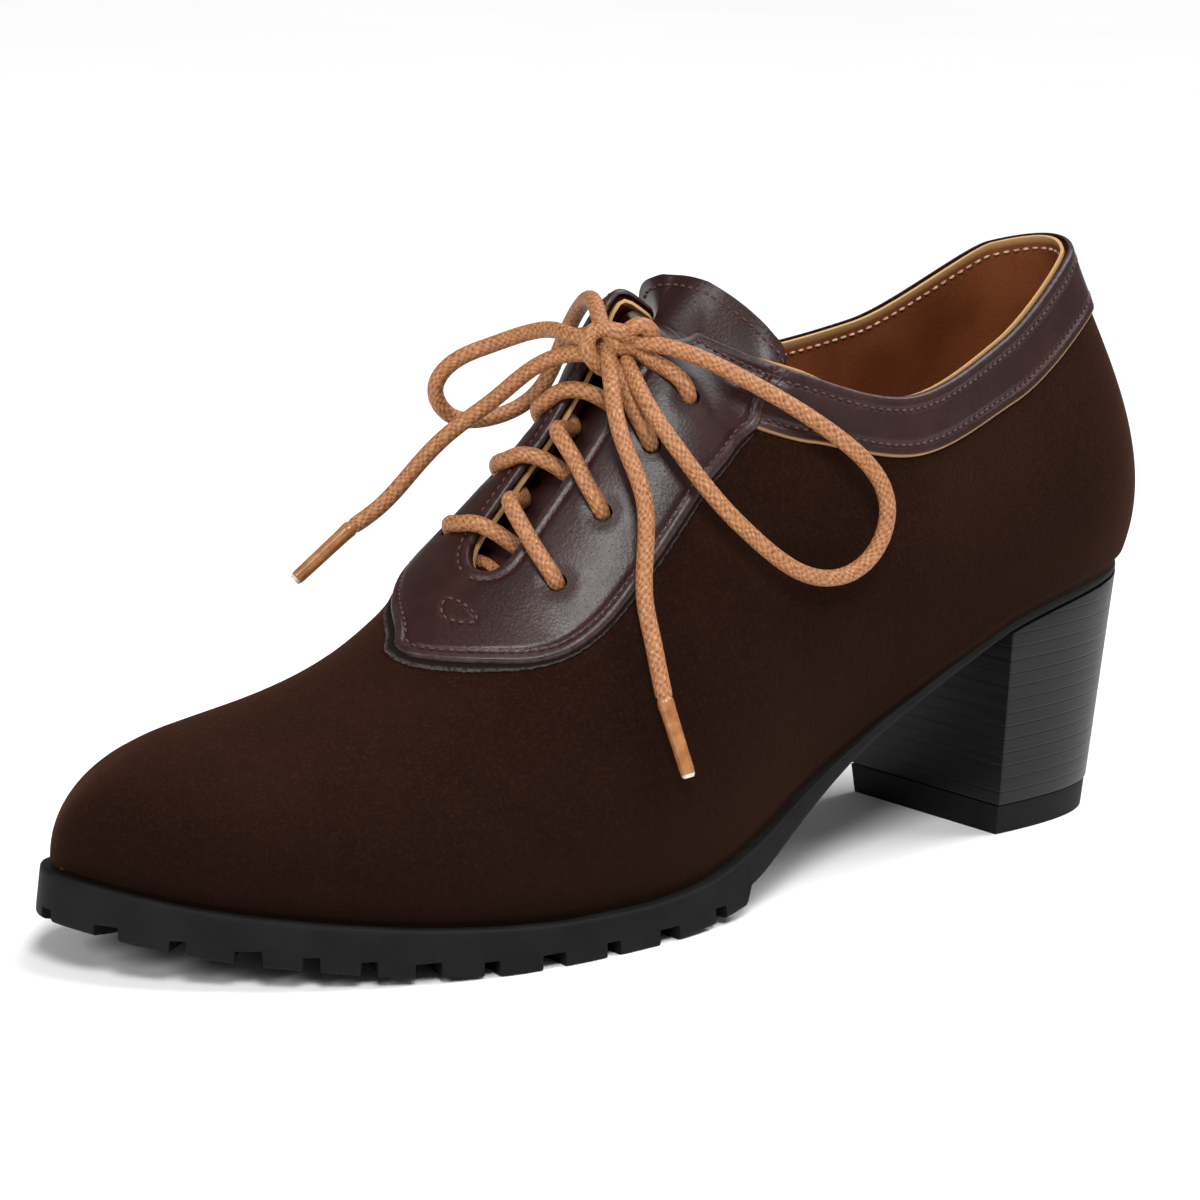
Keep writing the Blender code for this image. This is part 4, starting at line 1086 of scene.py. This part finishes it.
def stay_height(points, side, section):
    """Height of the shield's top face, and how much its edges are rubbed."""
    outer, edge = stay_lines(side)
    twin = stay_lines(-side)[0][:40]
    far = np.minimum(distance_to(points, outer), distance_to(points, twin))
    near = distance_to(points, edge)
    far_round = STAY_ROUND - 0.55 * soft_step(section, 9.2, 9.45)
    height = STAY_THICK * quarter_round(far, far_round) * quarter_round(near, STAY_ROUND)
    seam = hill(near, STITCH_IN, SEAM_HALF) * soft_step(section, SLOT_END - 0.25, SLOT_END - 0.05)
    height = height - SEAM_DEPTH * hill(far, STITCH_IN, SEAM_HALF)
    height = height - SLOT_SEAM_DEPTH * seam * quarter_round(far, STAY_ROUND)
    for hole in lace_holes(side):
        dip = hill(np.linalg.norm(points - skin(*hole, side), axis=-1), 0, HOLE_DIP_HALF)
        height = height - HOLE_DIP_DEPTH * dip * quarter_round(far, STAY_ROUND)
    tack = distance_to(points, over_skin(*tack_spots().T, 1))
    height = height - TACK_DEPTH * hill(tack, 0, SEAM_HALF)
    dimple = np.linalg.norm(points - skin(*DIMPLE_PLACE, 1), axis=-1)
    height = height - DIMPLE_DEPTH * hill(dimple, 0, DIMPLE_HALF)
    rubbed = np.maximum(1 - soft_step(far, 0.2, 1.9), 1 - soft_step(near, 0.2, 1.9))
    return np.maximum(height, 0), rubbed


@functools.lru_cache(maxsize=None)
def tack_spots():
    """Section and level along the closed line of the stitched tack."""
    return round_curve(np.array(TACK, float), np.linspace(0, len(TACK), 120))


def make_eyestay(look):
    """Shield overlay with rounded edges, sunk seams and a slot."""
    mix = cosine_rows(56)
    under = cosine_rows(7)[::-1]
    parts = []
    tip = STAY_OUTER[0][0]
    below = tip + (SLOT_END - tip) * np.linspace(0, 1, 100)**0.8
    for side in (1, -1):
        shares = np.linspace(0, 1, 2000)
        start = np.interp(below, border_table(stay_rows(side), side, shares)[:, 0], shares)
        rest = 1 - start[-1]
        at = np.sort(np.concatenate([start, start[-1] + rest * np.linspace(0, 1, 170)[1:],
                                     start[-1] + 0.05 * np.linspace(0, 1, 22)[1:-1]**2]))
        table = border_table(stay_rows(side), side, at)
        section, level = overlay(table, mix, side)
        height, rubbed = stay_height(over_skin(section, level, side), side, section)
        top = over_skin(section, level, side, LAY_GAP + height)
        section, level = overlay(table, under, side)
        points = np.concatenate([top, over_skin(section, level, side, LAY_GAP)], axis=1)
        points[:, -1] = points[:, 0]
        rubbed = np.concatenate([rubbed, np.zeros(section.shape)], axis=1)
        parts.append((points, rubbed, np.arange(len(at)) < len(below)))
    outer, inner = parts
    closed = outer[2]
    for row in (len(mix) - 1, len(mix)):
        middle = (outer[0][closed, row] + inner[0][closed, row]) / 2
        outer[0][closed, row] = middle
        inner[0][closed, row] = middle
    outer[0][0] = outer[0][0, 0]
    inner[0][0] = outer[0][0, 0]
    points = np.concatenate([inner[0][::-1], outer[0][1:]])
    rubbed = np.concatenate([inner[1][::-1], outer[1][1:]])
    around = np.concatenate([closed[::-1], closed[1:]])
    points[~around, len(mix)] = points[~around, len(mix) - 1]
    drop = np.zeros((points.shape[0] - 1, points.shape[1] - 1), bool)
    drop[:, len(mix) - 1] = around[:-1] & around[1:]
    marks = {"rubbed": rubbed, "raw": np.zeros(rubbed.shape)}
    piece = woven("eyestay_leather", points, marks, drop=drop.reshape(-1))
    return hand_over(piece, look, ("eyestay",))


def make_under_strip(look):
    """Thin layer that shows all round under the shield's outer border, dark as a painted shadow of the gap
    there.
    """
    halves = []
    for side in (1, -1):
        table = border_table(stay_rows(side), side, np.linspace(0, 0.87, 240))
        base = over_skin(table[:, 1], table[:, 2], side)
        up = over_skin(table[:, 1], table[:, 2], side, 1) - base
        section, level = overlay(table, np.array([0.2]), side)
        halves.append((base, up, over_skin(section[:, 0], level[:, 0], side)))
    base, up, inside = (np.concatenate([b[::-1], a[1:]]) for a, b in zip(*halves))
    ahead = np.gradient(base, axis=0)
    ahead = ahead / np.linalg.norm(ahead, axis=1, keepdims=True)
    out = np.cross(ahead, up)
    side = np.sign(((base - inside) * out).sum(1))
    side[np.abs(((base - inside) * out).sum(1)) < 0.05] = 0
    side = np.sign(np.median(side[side != 0]))
    out = side * out
    run = run_lengths(base)
    front = 1 - soft_step(np.abs(run - run[len(run) // 2]), 12, 34)
    reach = 0.75 + 1.15 * front + 0.05 * np.sin(2.1 * run) + 0.05 * np.sin(4.7 * run + 1)
    ends = np.minimum(run, run[-1] - run)
    reach = reach * quarter_round(ends, 3)
    rows = []
    for share, height, _ in UNDER_ROWS:
        width = np.where(share < 0, share, share * reach)
        rows.append(base + width[:, None] * out + height * up)
    points = np.stack([*rows, rows[0]], axis=1)
    points[0] = points[0].mean(0)
    points[-1] = points[-1].mean(0)
    rim = np.array([row[2] for row in (*UNDER_ROWS, UNDER_ROWS[0])])
    rim = np.broadcast_to(rim, points.shape[:2])
    return hand_over(woven("eyestay_under_layer_and_painted_shadow", points, {"rim": rim}), look)


@functools.lru_cache(maxsize=None)
def band_lines(side):
    """Lower border, topline and seam of the collar band."""
    table = border_table(BAND_ROWS, side, np.linspace(0, 1, 300))
    top = skin(table[:, 0], 1, side)
    section, level = overlay(table[:1], np.linspace(0, 1, 40), side)
    return over_skin(table[:, 1], table[:, 2], side), top, over_skin(section[0], level[0], side)


def band_height(points, side):
    """Height of the collar band's top face, and how far its edges are rubbed and raw."""
    low, top, seam = band_lines(side)
    below = distance_to(points, low)
    above = distance_to(points, top)
    aside = distance_to(points, seam)
    height = BAND_THICK * quarter_round(below, 0.45) * quarter_round(above, 0.7) * quarter_round(aside, 0.15)
    height = height - BAND_SEAM_DEPTH * hill(below, STITCH_IN, BAND_SEAM_HALF)
    height = height - BAND_SEAM_DEPTH * hill(above, TOP_STITCH_IN, BAND_SEAM_HALF)
    return np.maximum(height, 0), 1 - soft_step(above, 0.2, 1.6), 1 - soft_step(below, 0.25, 0.6)


def make_collar_band(look):
    """Band round the opening with a raw lower edge and a rounded top."""
    mix = cosine_rows(40)
    under = cosine_rows(5)[::-1]
    halves = []
    for side in (1, -1):
        at = np.concatenate([(0, 0.0004, 0.0012), np.linspace(0.003, 1, 200)])
        table = border_table(BAND_ROWS, side, at)
        section, level = overlay(table, mix, side)
        height, rubbed, raw = band_height(over_skin(section, level, side), side)
        top = over_skin(section, level, side, LAY_GAP + height)
        section, level = overlay(table, under, side)
        points = np.concatenate([top, over_skin(section, level, side, LAY_GAP)], axis=1)
        blank = np.zeros(section.shape)
        marks = [np.concatenate([mark, blank], axis=1) for mark in (rubbed, raw)]
        halves.append([points, *marks])
    points, rubbed, raw = (np.concatenate([a, b[-2::-1]]) for a, b in zip(*halves))
    points[:, -1] = points[:, 0]
    points[:, len(mix)] = points[:, len(mix) - 1]
    for end in (0, -1):
        rim = points[end, :len(mix)]
        points[end, len(mix):] = np.stack([np.interp(under, mix, rim[:, axis]) for axis in range(3)], -1)
    piece = woven("collar_band_leather", points, {"rubbed": rubbed, "raw": raw})
    return hand_over(piece, look, ("collar_band",))


def tongue_sheet():
    """Columns of the tongue's outer face, from under the vamp to its free top."""
    low = np.linspace(6.62, 8.95, 90)
    across = np.linspace(0, 1, 30)
    climb = np.linspace(0, 1, 16)[1:, None]
    reach = np.linspace(0, 1, 22)[1:, None, None]
    halves = []
    for side, rows in ((1, TONGUE_TOP), (-1, TONGUE_TOP_INNER)):
        table = np.array(rows, float)
        leave, level, top_x, top_s, top_z = run_through(table[:, 0], table[:, 1:], across).T
        share = 1 + (table_at(TONGUE_SHARES, low)[:, None] - 1) * across
        section = np.repeat(low[:, None], len(across), axis=1)
        section = np.concatenate([section, low[-1] + (leave - low[-1]) * climb])
        share = np.concatenate([share, share[-1] + (level - share[-1]) * climb])
        drop = TONGUE_DROP * soft_step(section, 6.9, 7.3) * (1 - soft_step(section, 8.85, 9.2))
        half = skin(section, share, side, -WALL - TONGUE_GAP - drop)
        top = np.stack([side * top_x, top_s, top_z], axis=1)
        halves.append(np.concatenate([half, half[-1] + (top - half[-1]) * reach]))
    arch = np.concatenate([slot_half(section[:, 0]) / SLOT_HALF, np.linspace(1, 0.35, len(reach))])
    middle = []
    for share in np.linspace(0, 1, 9)[1:-1]:
        line = halves[1][:, 0] + (halves[0][:, 0] - halves[1][:, 0]) * share
        middle.append(line + 4 * share * (1 - share) * arch[:, None] * np.array(TONGUE_ARCH))
    return np.concatenate([halves[1][:, ::-1], np.stack(middle, axis=1), halves[0]], axis=1)


def make_tongue(look):
    """Thick leather sheet with eased edges."""
    points = tongue_sheet()
    marks = {"rubbed": np.zeros(points.shape[:2]), "raw": np.zeros(points.shape[:2])}
    piece = woven("tongue_leather", points, marks)
    choose(piece)
    normal = np.zeros(len(piece.data.polygons) * 3)
    piece.data.polygons.foreach_get("normal", normal)
    if normal.reshape(-1, 3)[:, 2].mean() < 0:
        bpy.ops.object.mode_set(mode="EDIT")
        bpy.ops.mesh.select_all(action="SELECT")
        bpy.ops.mesh.flip_normals()
        bpy.ops.object.mode_set(mode="OBJECT")
    thicken(piece, TONGUE_THICK)
    ease_edges(piece, 0.55)
    return hand_over(piece, look, ("tongue",))


def make_insole(look):
    """Foot bed, a little dished, with a rounded edge."""
    sections = fine_sections(8)
    across = np.linspace(-1, 1, 21)
    outer, _ = seat(sections, 1, np.full(len(sections), -INSOLE_INSET))
    inner, _ = seat(sections, -1, np.full(len(sections), -INSOLE_INSET))
    plan = (outer[:, None] + inner[:, None]) / 2 + (outer - inner)[:, None] / 2 * across[None, :, None]
    height = table_at(SEAT_LINE, plan[..., 1]) + INSOLE_THICK - INSOLE_DISH * (1 - across**2)
    points = np.concatenate([plan, height[..., None]], axis=-1)
    piece = woven("insole_leather", points, {"raw": np.zeros(points.shape[:2])})
    choose(piece)
    upside_down = piece.data.polygons[len(piece.data.polygons) // 2].normal.z < 0
    thicken(piece, -INSOLE_BODY if upside_down else INSOLE_BODY)
    return hand_over(piece, look, ("insole",))


def sole_low(s):
    """Underside of lugs and waist, with a short run between them."""
    back = soft_step(s, LUG_END - 1.4, LUG_END + 0.2)
    return waist_low(s) + (lug_low(s) - waist_low(s)) * back


def make_outsole(look):
    """Lug forefoot, thin waist and heel seat with eased edges and side notches."""
    step = section_at_station(LUG_END)
    sections = np.sort(np.concatenate([fine_sections(10), step + np.linspace(-0.1, 0.1, 17)]))
    wall = np.array([0, 0.02, 0.06, 0.14, 0.3, 0.5, 0.7, 0.86, 0.94, 0.98, 1])
    loops = []
    for at in sections:
        sides = []
        for side in (1, -1):
            foot, _ = seat(at, side)
            ledge = float(table_at(SOLE_LEDGE, foot[1]))
            flare = ledge + WALL_FLARE * float(np.clip((foot[1] - FLARE_START) / FLARE_RUN, 0, 1))
            top, low = float(sole_top(foot[1])), float(sole_low(foot[1]))
            deep = top - low
            down = wall * deep
            ease = SOLE_EASE * (2 - quarter_round(down, SOLE_EASE) - quarter_round(deep - down, SOLE_EASE))
            outset = ledge + (flare - ledge) * wall - ease
            moved, _ = seat(np.full(len(wall), at), side, outset)
            levels = top - down + (sole_top(moved[:, 1]) - top) * (1 - wall)
            levels = levels + (sole_low(moved[:, 1]) - low) * wall
            sides.append(np.concatenate([moved, levels[:, None]], axis=1))
        outer, inner = sides
        share = np.linspace(0, 1, 12)[1:-1, None]
        under = outer[-1] + (inner[-1] - outer[-1]) * share
        under[:, 2] = sole_low(under[:, 1])
        over = inner[0] + (outer[0] - inner[0]) * share
        over[:, 2] = sole_top(over[:, 1])
        loops.append(np.concatenate([outer, under, inner[::-1], over, outer[:1]]))
    piece = woven("outsole_rubber", np.array(loops))
    tools = []
    for side, at, width in notch_places(step):
        foot, outward = seat(at, side)
        ahead = np.array([-outward[1], outward[0]])
        roof = float(lug_low(foot[1])) + NOTCH_HEIGHT
        corners = []
        for reach in (-NOTCH_DEPTH, NOTCH_OUT):
            for way in (-1, 1):
                for breadth, level in ((width / 2, roof - NOTCH_DOWN), (width / 2 - NOTCH_TAPER, roof)):
                    spot = foot + reach * outward + way * breadth * ahead
                    corners.append((spot[0], spot[1], level))
        deselect()
        bpy.ops.mesh.primitive_cube_add(size=0.01)
        tool = bpy.context.object
        tool.data.vertices.foreach_set("co", place(corners).reshape(-1))
        close_up(tool)
        tools.append(tool)
    tool = join(tools, "notch_tool")
    cut_away(piece, tool)
    throw_out(tool)
    return hand_over(piece, look, ("outsole",), 35)


def heel_grid(levels, inset, columns):
    """Loops from the breast round to the back; levels are heights as functions of the top."""
    first = section_at_station(HEEL_BREAST_TOP)
    loops = []
    for at in np.concatenate([[first], np.linspace(first, BACK, columns)]):
        loop = []
        for side, order in ((1, levels), (-1, levels[::-1])):
            foot, _ = seat(at, side, -HEEL_INSET - inset)
            high = float(waist_low(foot[1])) - GAP
            low_x = foot[0] * HEEL_TAPER
            low_s = HEEL_BACK + foot[1] * (HEEL_BREAST - HEEL_BACK) / HEEL_BREAST_TOP
            for level in order:
                z = level(high)
                share = (high - z) / high
                loop.append((foot[0] + (low_x - foot[0]) * share, foot[1] + (low_s - foot[1]) * share, z))
        loops.append(loop + loop[:1])
    grid = np.array(loops)
    grid[0, :, 0] = 0
    return grid


def make_heel(block_look, wear_look):
    """Block heel and the wear layer under it."""
    def level_at(share):
        return lambda high: high + (TOP_PIECE + GAP - high) * share

    block = woven("heel_stack", heel_grid([level_at(share) for share in np.linspace(0, 1, 9)], 0, 90))
    ease_edges(block, 0.5, 45)
    hand_over(block, block_look, ("heel_block",), 35)
    wear = [lambda high, z=z: z for z in (TOP_PIECE, 4, 2, 0)]
    piece = woven("heel_wear_layer", heel_grid(wear, TOP_PIECE_INSET, 90))
    ease_edges(piece, 0.45, 45)
    hand_over(piece, wear_look, ("heel_top_piece",), 35)


def hole_tool(radius):
    """Rods through the lace holes."""
    rods = []
    for side in (1, -1):
        for hole in lace_holes(side):
            ends = [skin(*hole, side, height) for height in (-5, 5)]
            rods.append(cord("rod", evenly(np.array(ends), 2), radius, 20, False))
    return join(rods, "hole_tool")


def over_middle(section, height):
    """Point over the middle line, where the two sides would meet without the slot."""
    return (over_skin(section, 1, 1, height) + over_skin(section, 1, -1, height)) / 2


def crossing(number, side, over):
    """Lace run out of a hole, over its own facing's edge, across the slot and under the other facing."""
    section, share = lace_holes(side)[number]
    route = [
        skin(section, share - 0.005, side, -3.4),
        skin(section, share + 0.002, side, -0.4),
        skin(section + 0.004, share + 0.03, side, LACE_LIFT - (0.5 if over else 0.8)),
        skin(section + 0.02, share + 0.08, side, LACE_LIFT - (0 if over else 0.3)),
        skin(section + 0.06, 0.985, side, LACE_LIFT + (0.25 if over else -0.1)),
        over_middle(section + 0.14, 3.5 if over else 0.1),
        skin(section + (0.24 if over else 0.2), 1, -side, -3.6),
        skin(section + (0.3 if over else 0.26), 0.94, -side, -3.9),
        skin(section + (0.34 if over else 0.3), 0.88, -side, -3.9),
    ]
    return smooth_route(route, 0.8)


def make_crossings(look):
    """Runs of the lace between the facings, and the bar under the slot's lower end."""
    for number in range(len(HOLES_OUTER) - 1):
        for side, over, name in ((1, True, "outer"), (-1, False, "inner")):
            piece = cord("lace_cross_%s_%d" % (name, number + 1), crossing(number, side, over), LACE_RADIUS)
            hand_over(piece, look, ("lace_bar_%d" % (number + 1),) if over else ())
    low = HOLES_INNER[0][0] - 0.07
    route = [skin(*lace_holes(1)[0], 1, -3.6), skin(low, 0.9, 1, -4.2), over_middle(low, -4.4),
             skin(low, 0.9, -1, -4.2), skin(*lace_holes(-1)[0], -1, -3.6)]
    hand_over(cord("lace_bottom_bar", smooth_route(route, 0.8), LACE_RADIUS), look)


def declare(route):
    """Work out the world places of a free run of the lace and of its first point; nothing is kept."""
    place(route[0])
    place(route)


def make_bow(look, tip_look):
    """Knot, leads from the top holes, loops, ends and their tips."""
    for side, near, far in LEAD_ENDS:
        name = "outer" if side > 0 else "inner"
        section, share = lace_holes(side)[-1]
        bend = skin(section, share + 0.01, side, LACE_LIFT - 0.5)
        bend = bend + 0.16 * (np.array(far) - bend)
        route = [skin(section, share - 0.005, side, -3.4), skin(section, share, side, -0.4), bend,
                 0.45 * bend + 0.55 * np.array(far) + (0, 0.3, 0.6), far, near]
        piece = cord("lace_lead_%s_run" % name, smooth_route(route, 0.8), LACE_RADIUS)
        hand_over(piece, look, ("lace_lead_" + name,))
    turns = [cord("turn", smooth_route(route, 0.6), LACE_RADIUS) for route in KNOT_TURNS]
    hand_over(join(turns, "lace_knot_turns"), look, ("lace_knot",))
    for name, middle in (("outer", LOOP_OUTER), ("inner", LOOP_INNER)):
        route = smooth_route(middle, 0.9)
        piece = cord("lace_loop_%s_cord" % name, route, LACE_RADIUS)
        hand_over(piece, look, ("lace_loop_" + name,))
        declare(route)
    for name, middle, tip in (("outer", END_OUTER, END_OUTER_TIP), ("inner", END_INNER, END_INNER_TIP)):
        route = smooth_route(middle, 0.9)
        piece = cord("lace_end_%s_cord" % name, route, LACE_RADIUS)
        hand_over(piece, look, ("lace_end_" + name,))
        run = np.array(tip, float) - middle[-1]
        run = run / np.linalg.norm(run)
        start = np.array(middle[-1], float) - 0.8 * run
        line = evenly(np.array([start, start + (TIP_LENGTH + 1) * run]), 0.5)
        film = cord("lace_tip_%s_film" % name, line, np.interp(run_lengths(line), *zip(*TIP_SHAPE)))
        hand_over(film, tip_look, ("lace_tip_" + name,))
        declare(route)


def stitch_row(lines, radius, long, gap):
    """Short threads along lines of points with their outward directions."""
    sides = 6
    threads = []
    for line, out in lines:
        length = run_lengths(line)
        count = int(length[-1] // (long + gap))
        pitch = length[-1] / max(count, 1)
        for i in range(count):
            at = (i + 0.5) * pitch + np.linspace(-0.5, 0.5, 6) * long
            points = np.stack([np.interp(at, length, line[:, axis]) for axis in range(3)], axis=1)
            up = np.stack([np.interp(at, length, out[:, axis]) for axis in range(3)], axis=1)
            rise = radius * (0.75 * np.cos(np.linspace(-1, 1, 6) * 1.45)[:, None] - 0.25)
            rings, _ = cord_rings(points + up * rise, radius * np.array([0.55, 0.9, 1, 1, 0.9, 0.55]), sides)
            first, last = (np.repeat(rings[[i]].mean(1, keepdims=True), sides + 1, axis=1) for i in (0, -1))
            threads.append(np.concatenate([first, rings, last]))
    return threads


def make_stitches(name, lines, thread, look):
    """All threads of some seams as one piece."""
    threads = stitch_row(lines, *thread)
    rows = threads[0].shape[1]
    points = np.concatenate(threads)
    drop = np.zeros((len(points) - 1, rows - 1), bool)
    drop[threads[0].shape[0] - 1::threads[0].shape[0]] = True
    piece = woven(name, points, drop=drop.reshape(-1))
    return hand_over(piece, look, (), 60)


def level_line(table, side, wanted, far_of, height_of):
    """Line over an overlay at a wanted distance from one of its borders, with its outward directions."""
    section, level = overlay(table, np.linspace(0, 1, 140), side)
    far = far_of(over_skin(section, level, side))
    spots = []
    for i in range(len(table)):
        found = np.nonzero((far[i, :-1] - wanted) * (far[i, 1:] - wanted) <= 0)[0]
        if len(found):
            j = found[0] if far[i, 0] < wanted else found[-1]
            f = (wanted - far[i, j]) / (far[i, j + 1] - far[i, j])
            spots.append((section[i, j] + f * (section[i, j + 1] - section[i, j]),
                          level[i, j] + f * (level[i, j + 1] - level[i, j])))
    spots = np.array(spots)
    height = height_of(over_skin(spots[:, 0], spots[:, 1], side), spots[:, 0])
    return surface_line(spots, side, LAY_GAP + height)


def surface_line(spots, side, height, way=1):
    """Line over the upper at a height, with its outward directions."""
    line = over_skin(spots[:, 0], spots[:, 1], side, height)
    return line, over_skin(spots[:, 0], spots[:, 1], side, height + way) - line


def make_seams(look, pale_look):
    """Stitches of shield, collar band, tongue and lining."""
    lines = []
    for side in (1, -1):
        outer, edge = stay_lines(side)
        table = border_table(stay_rows(side), side, np.linspace(0.01, 0.985, 420))

        def stay_top(flat, section):
            return stay_height(flat, side, section)[0]

        def band_top(flat, section):
            return band_height(flat, side)[0]

        lines.append(level_line(table, side, STITCH_IN, lambda flat: distance_to(flat, outer), stay_top))
        low = table[table[:, 0] > 6.8]
        lines.append(level_line(low, side, STITCH_IN, lambda flat: distance_to(flat, edge), stay_top))
        table = border_table(BAND_ROWS, side, np.linspace(0.012, 1, 420))
        below, above, _ = band_lines(side)
        lines.append(level_line(table, side, STITCH_IN, lambda flat: distance_to(flat, below), band_top))
        lines.append(level_line(table, side, TOP_STITCH_IN, lambda flat: distance_to(flat, above), band_top))
    tack = tack_spots()
    height = LAY_GAP + stay_height(over_skin(*tack.T, 1), 1, tack[:, 0])[0]
    lines.append(surface_line(tack, 1, height))
    sheet = tongue_sheet()
    down = np.linalg.norm(np.diff(sheet[::-1], axis=0), axis=-1).cumsum(0)
    columns = slice(16, -6)
    spots = []
    for i in range(sheet.shape[1])[columns]:
        k = np.searchsorted(down[:, i], TONGUE_STITCH_IN)
        before = down[k - 1, i] if k else 0
        f = (TONGUE_STITCH_IN - before) / (down[k, i] - before)
        spots.append(sheet[::-1][k, i] + f * (sheet[::-1][k + 1, i] - sheet[::-1][k, i]))
    spots = np.array(spots)
    fall = sheet[-1, columns] - spots
    out = np.cross(np.gradient(spots, axis=0), fall)
    out = out / np.linalg.norm(out, axis=1, keepdims=True)
    lines.append((spots, out * np.sign(out[len(out) // 2, 1])))
    make_stitches("trim_stitches", lines, TRIM_THREAD, look)
    lines = []
    for side in (1, -1):
        sections = np.linspace(9.45, BACK, 260)
        levels = np.linspace(0.88, 1, 60)
        grid = over_skin(sections[:, None], levels[None, :], side, -1.6)
        fall = np.linalg.norm(grid - grid[:, -1:], axis=-1)
        level = np.array([np.interp(-LINING_STITCH_IN, -row, levels) for row in fall])
        lines.append(surface_line(np.column_stack([sections, level]), side, -1.62, -1))
    make_stitches("lining_stitches", lines, LINING_THREAD, pale_look)


def set_stage():
    """Pale floor, soft light and the camera."""
    deselect()
    bpy.ops.mesh.primitive_plane_add(size=16)
    floor = bpy.context.object
    floor.name = "floor"
    look = Finish("pale floor")
    shade = look.blend(look.step(look.noise(3, 2), 0.3, 0.7), (0.94, 0.94, 0.94), (0.96, 0.96, 0.96))
    floor.data.materials.append(look.set(Base_Color=shade, Roughness=0.9, Specular_IOR_Level=0.1))
    world = bpy.data.worlds.new("studio")
    world.use_nodes = True
    world.node_tree.nodes["Background"].inputs["Color"].default_value = (1, 1, 1, 1)
    world.node_tree.nodes["Background"].inputs["Strength"].default_value = SKY_LIGHT
    scene = bpy.context.scene
    scene.world = world
    scene.view_settings.view_transform = "Standard"
    add_lamp("overhead sun", "SUN", SUN_PLACE, (0, 0, 0), SUN_LIGHT, angle=math.radians(SUN_SPREAD))
    for name, spot, size, power in SOFTBOXES:
        add_lamp(name, "AREA", spot, (0, 0, 0.05), power, size=size)
    set_camera(scene)


def add_lamp(name, kind, spot, aim, power, **settings):
    """One lamp turned to a point."""
    light = bpy.data.lights.new(name, kind)
    light.energy = power
    for setting, value in settings.items():
        setattr(light, setting, value)
    lamp = bpy.data.objects.new(name, light)
    bpy.context.scene.collection.objects.link(lamp)
    back = np.array(spot, float) - aim
    back = back / np.linalg.norm(back)
    right = np.cross((0.01, 1, 0), back)
    right = right / np.linalg.norm(right)
    rows = zip(right, np.cross(back, right), back, spot)
    lamp.matrix_world = Matrix([*rows, (0, 0, 0, 1)])


def set_camera(scene):
    """Camera at the photograph's place."""
    turn, tip, roll = (math.radians(angle) for angle in (CAMERA_AZIMUTH, CAMERA_ELEVATION, CAMERA_ROLL))
    ahead = np.array([-math.sin(turn) * math.cos(tip), math.cos(turn) * math.cos(tip), -math.sin(tip)])
    right = np.array([math.cos(turn), math.sin(turn), 0])
    up = np.cross(right, ahead)
    right, up = right * math.cos(roll) + up * math.sin(roll), up * math.cos(roll) - right * math.sin(roll)
    lens = bpy.data.cameras.new("camera")
    lens.lens = CAMERA_LENS
    lens.sensor_width = CAMERA_SENSOR
    lens.clip_start = 0.01
    camera = bpy.data.objects.new("camera", lens)
    scene.collection.objects.link(camera)
    camera.matrix_world = Matrix([*zip(right, up, -ahead, CAMERA_PLACE), (0, 0, 0, 1)])
    scene.camera = camera


def main():
    set_stage()
    suede, leather, lining = suede_finish(), leather_finish(), lining_finish()
    rubber, lace = rubber_finish(), lace_finish()
    upper = make_suede(suede)
    inside = make_lining(lining)
    stay = make_eyestay(leather)
    tool = hole_tool(HOLE_RADIUS)
    for piece in (upper, inside, stay):
        cut_away(piece, tool)
    throw_out(tool)
    make_under_strip(cut_rim_and_painted_shadow_finish())
    make_collar_band(leather)
    make_tongue(leather)
    make_insole(lining)
    make_outsole(rubber)
    make_heel(stack_finish(), rubber)
    make_crossings(lace)
    make_bow(lace, tip_finish())
    make_seams(thread_finish("red-brown thread", (0.032, 0.006, 0.006), (0.095, 0.02, 0.018)),
               thread_finish("pale thread", (0.33, 0.21, 0.13), (0.56, 0.42, 0.29)))


main()
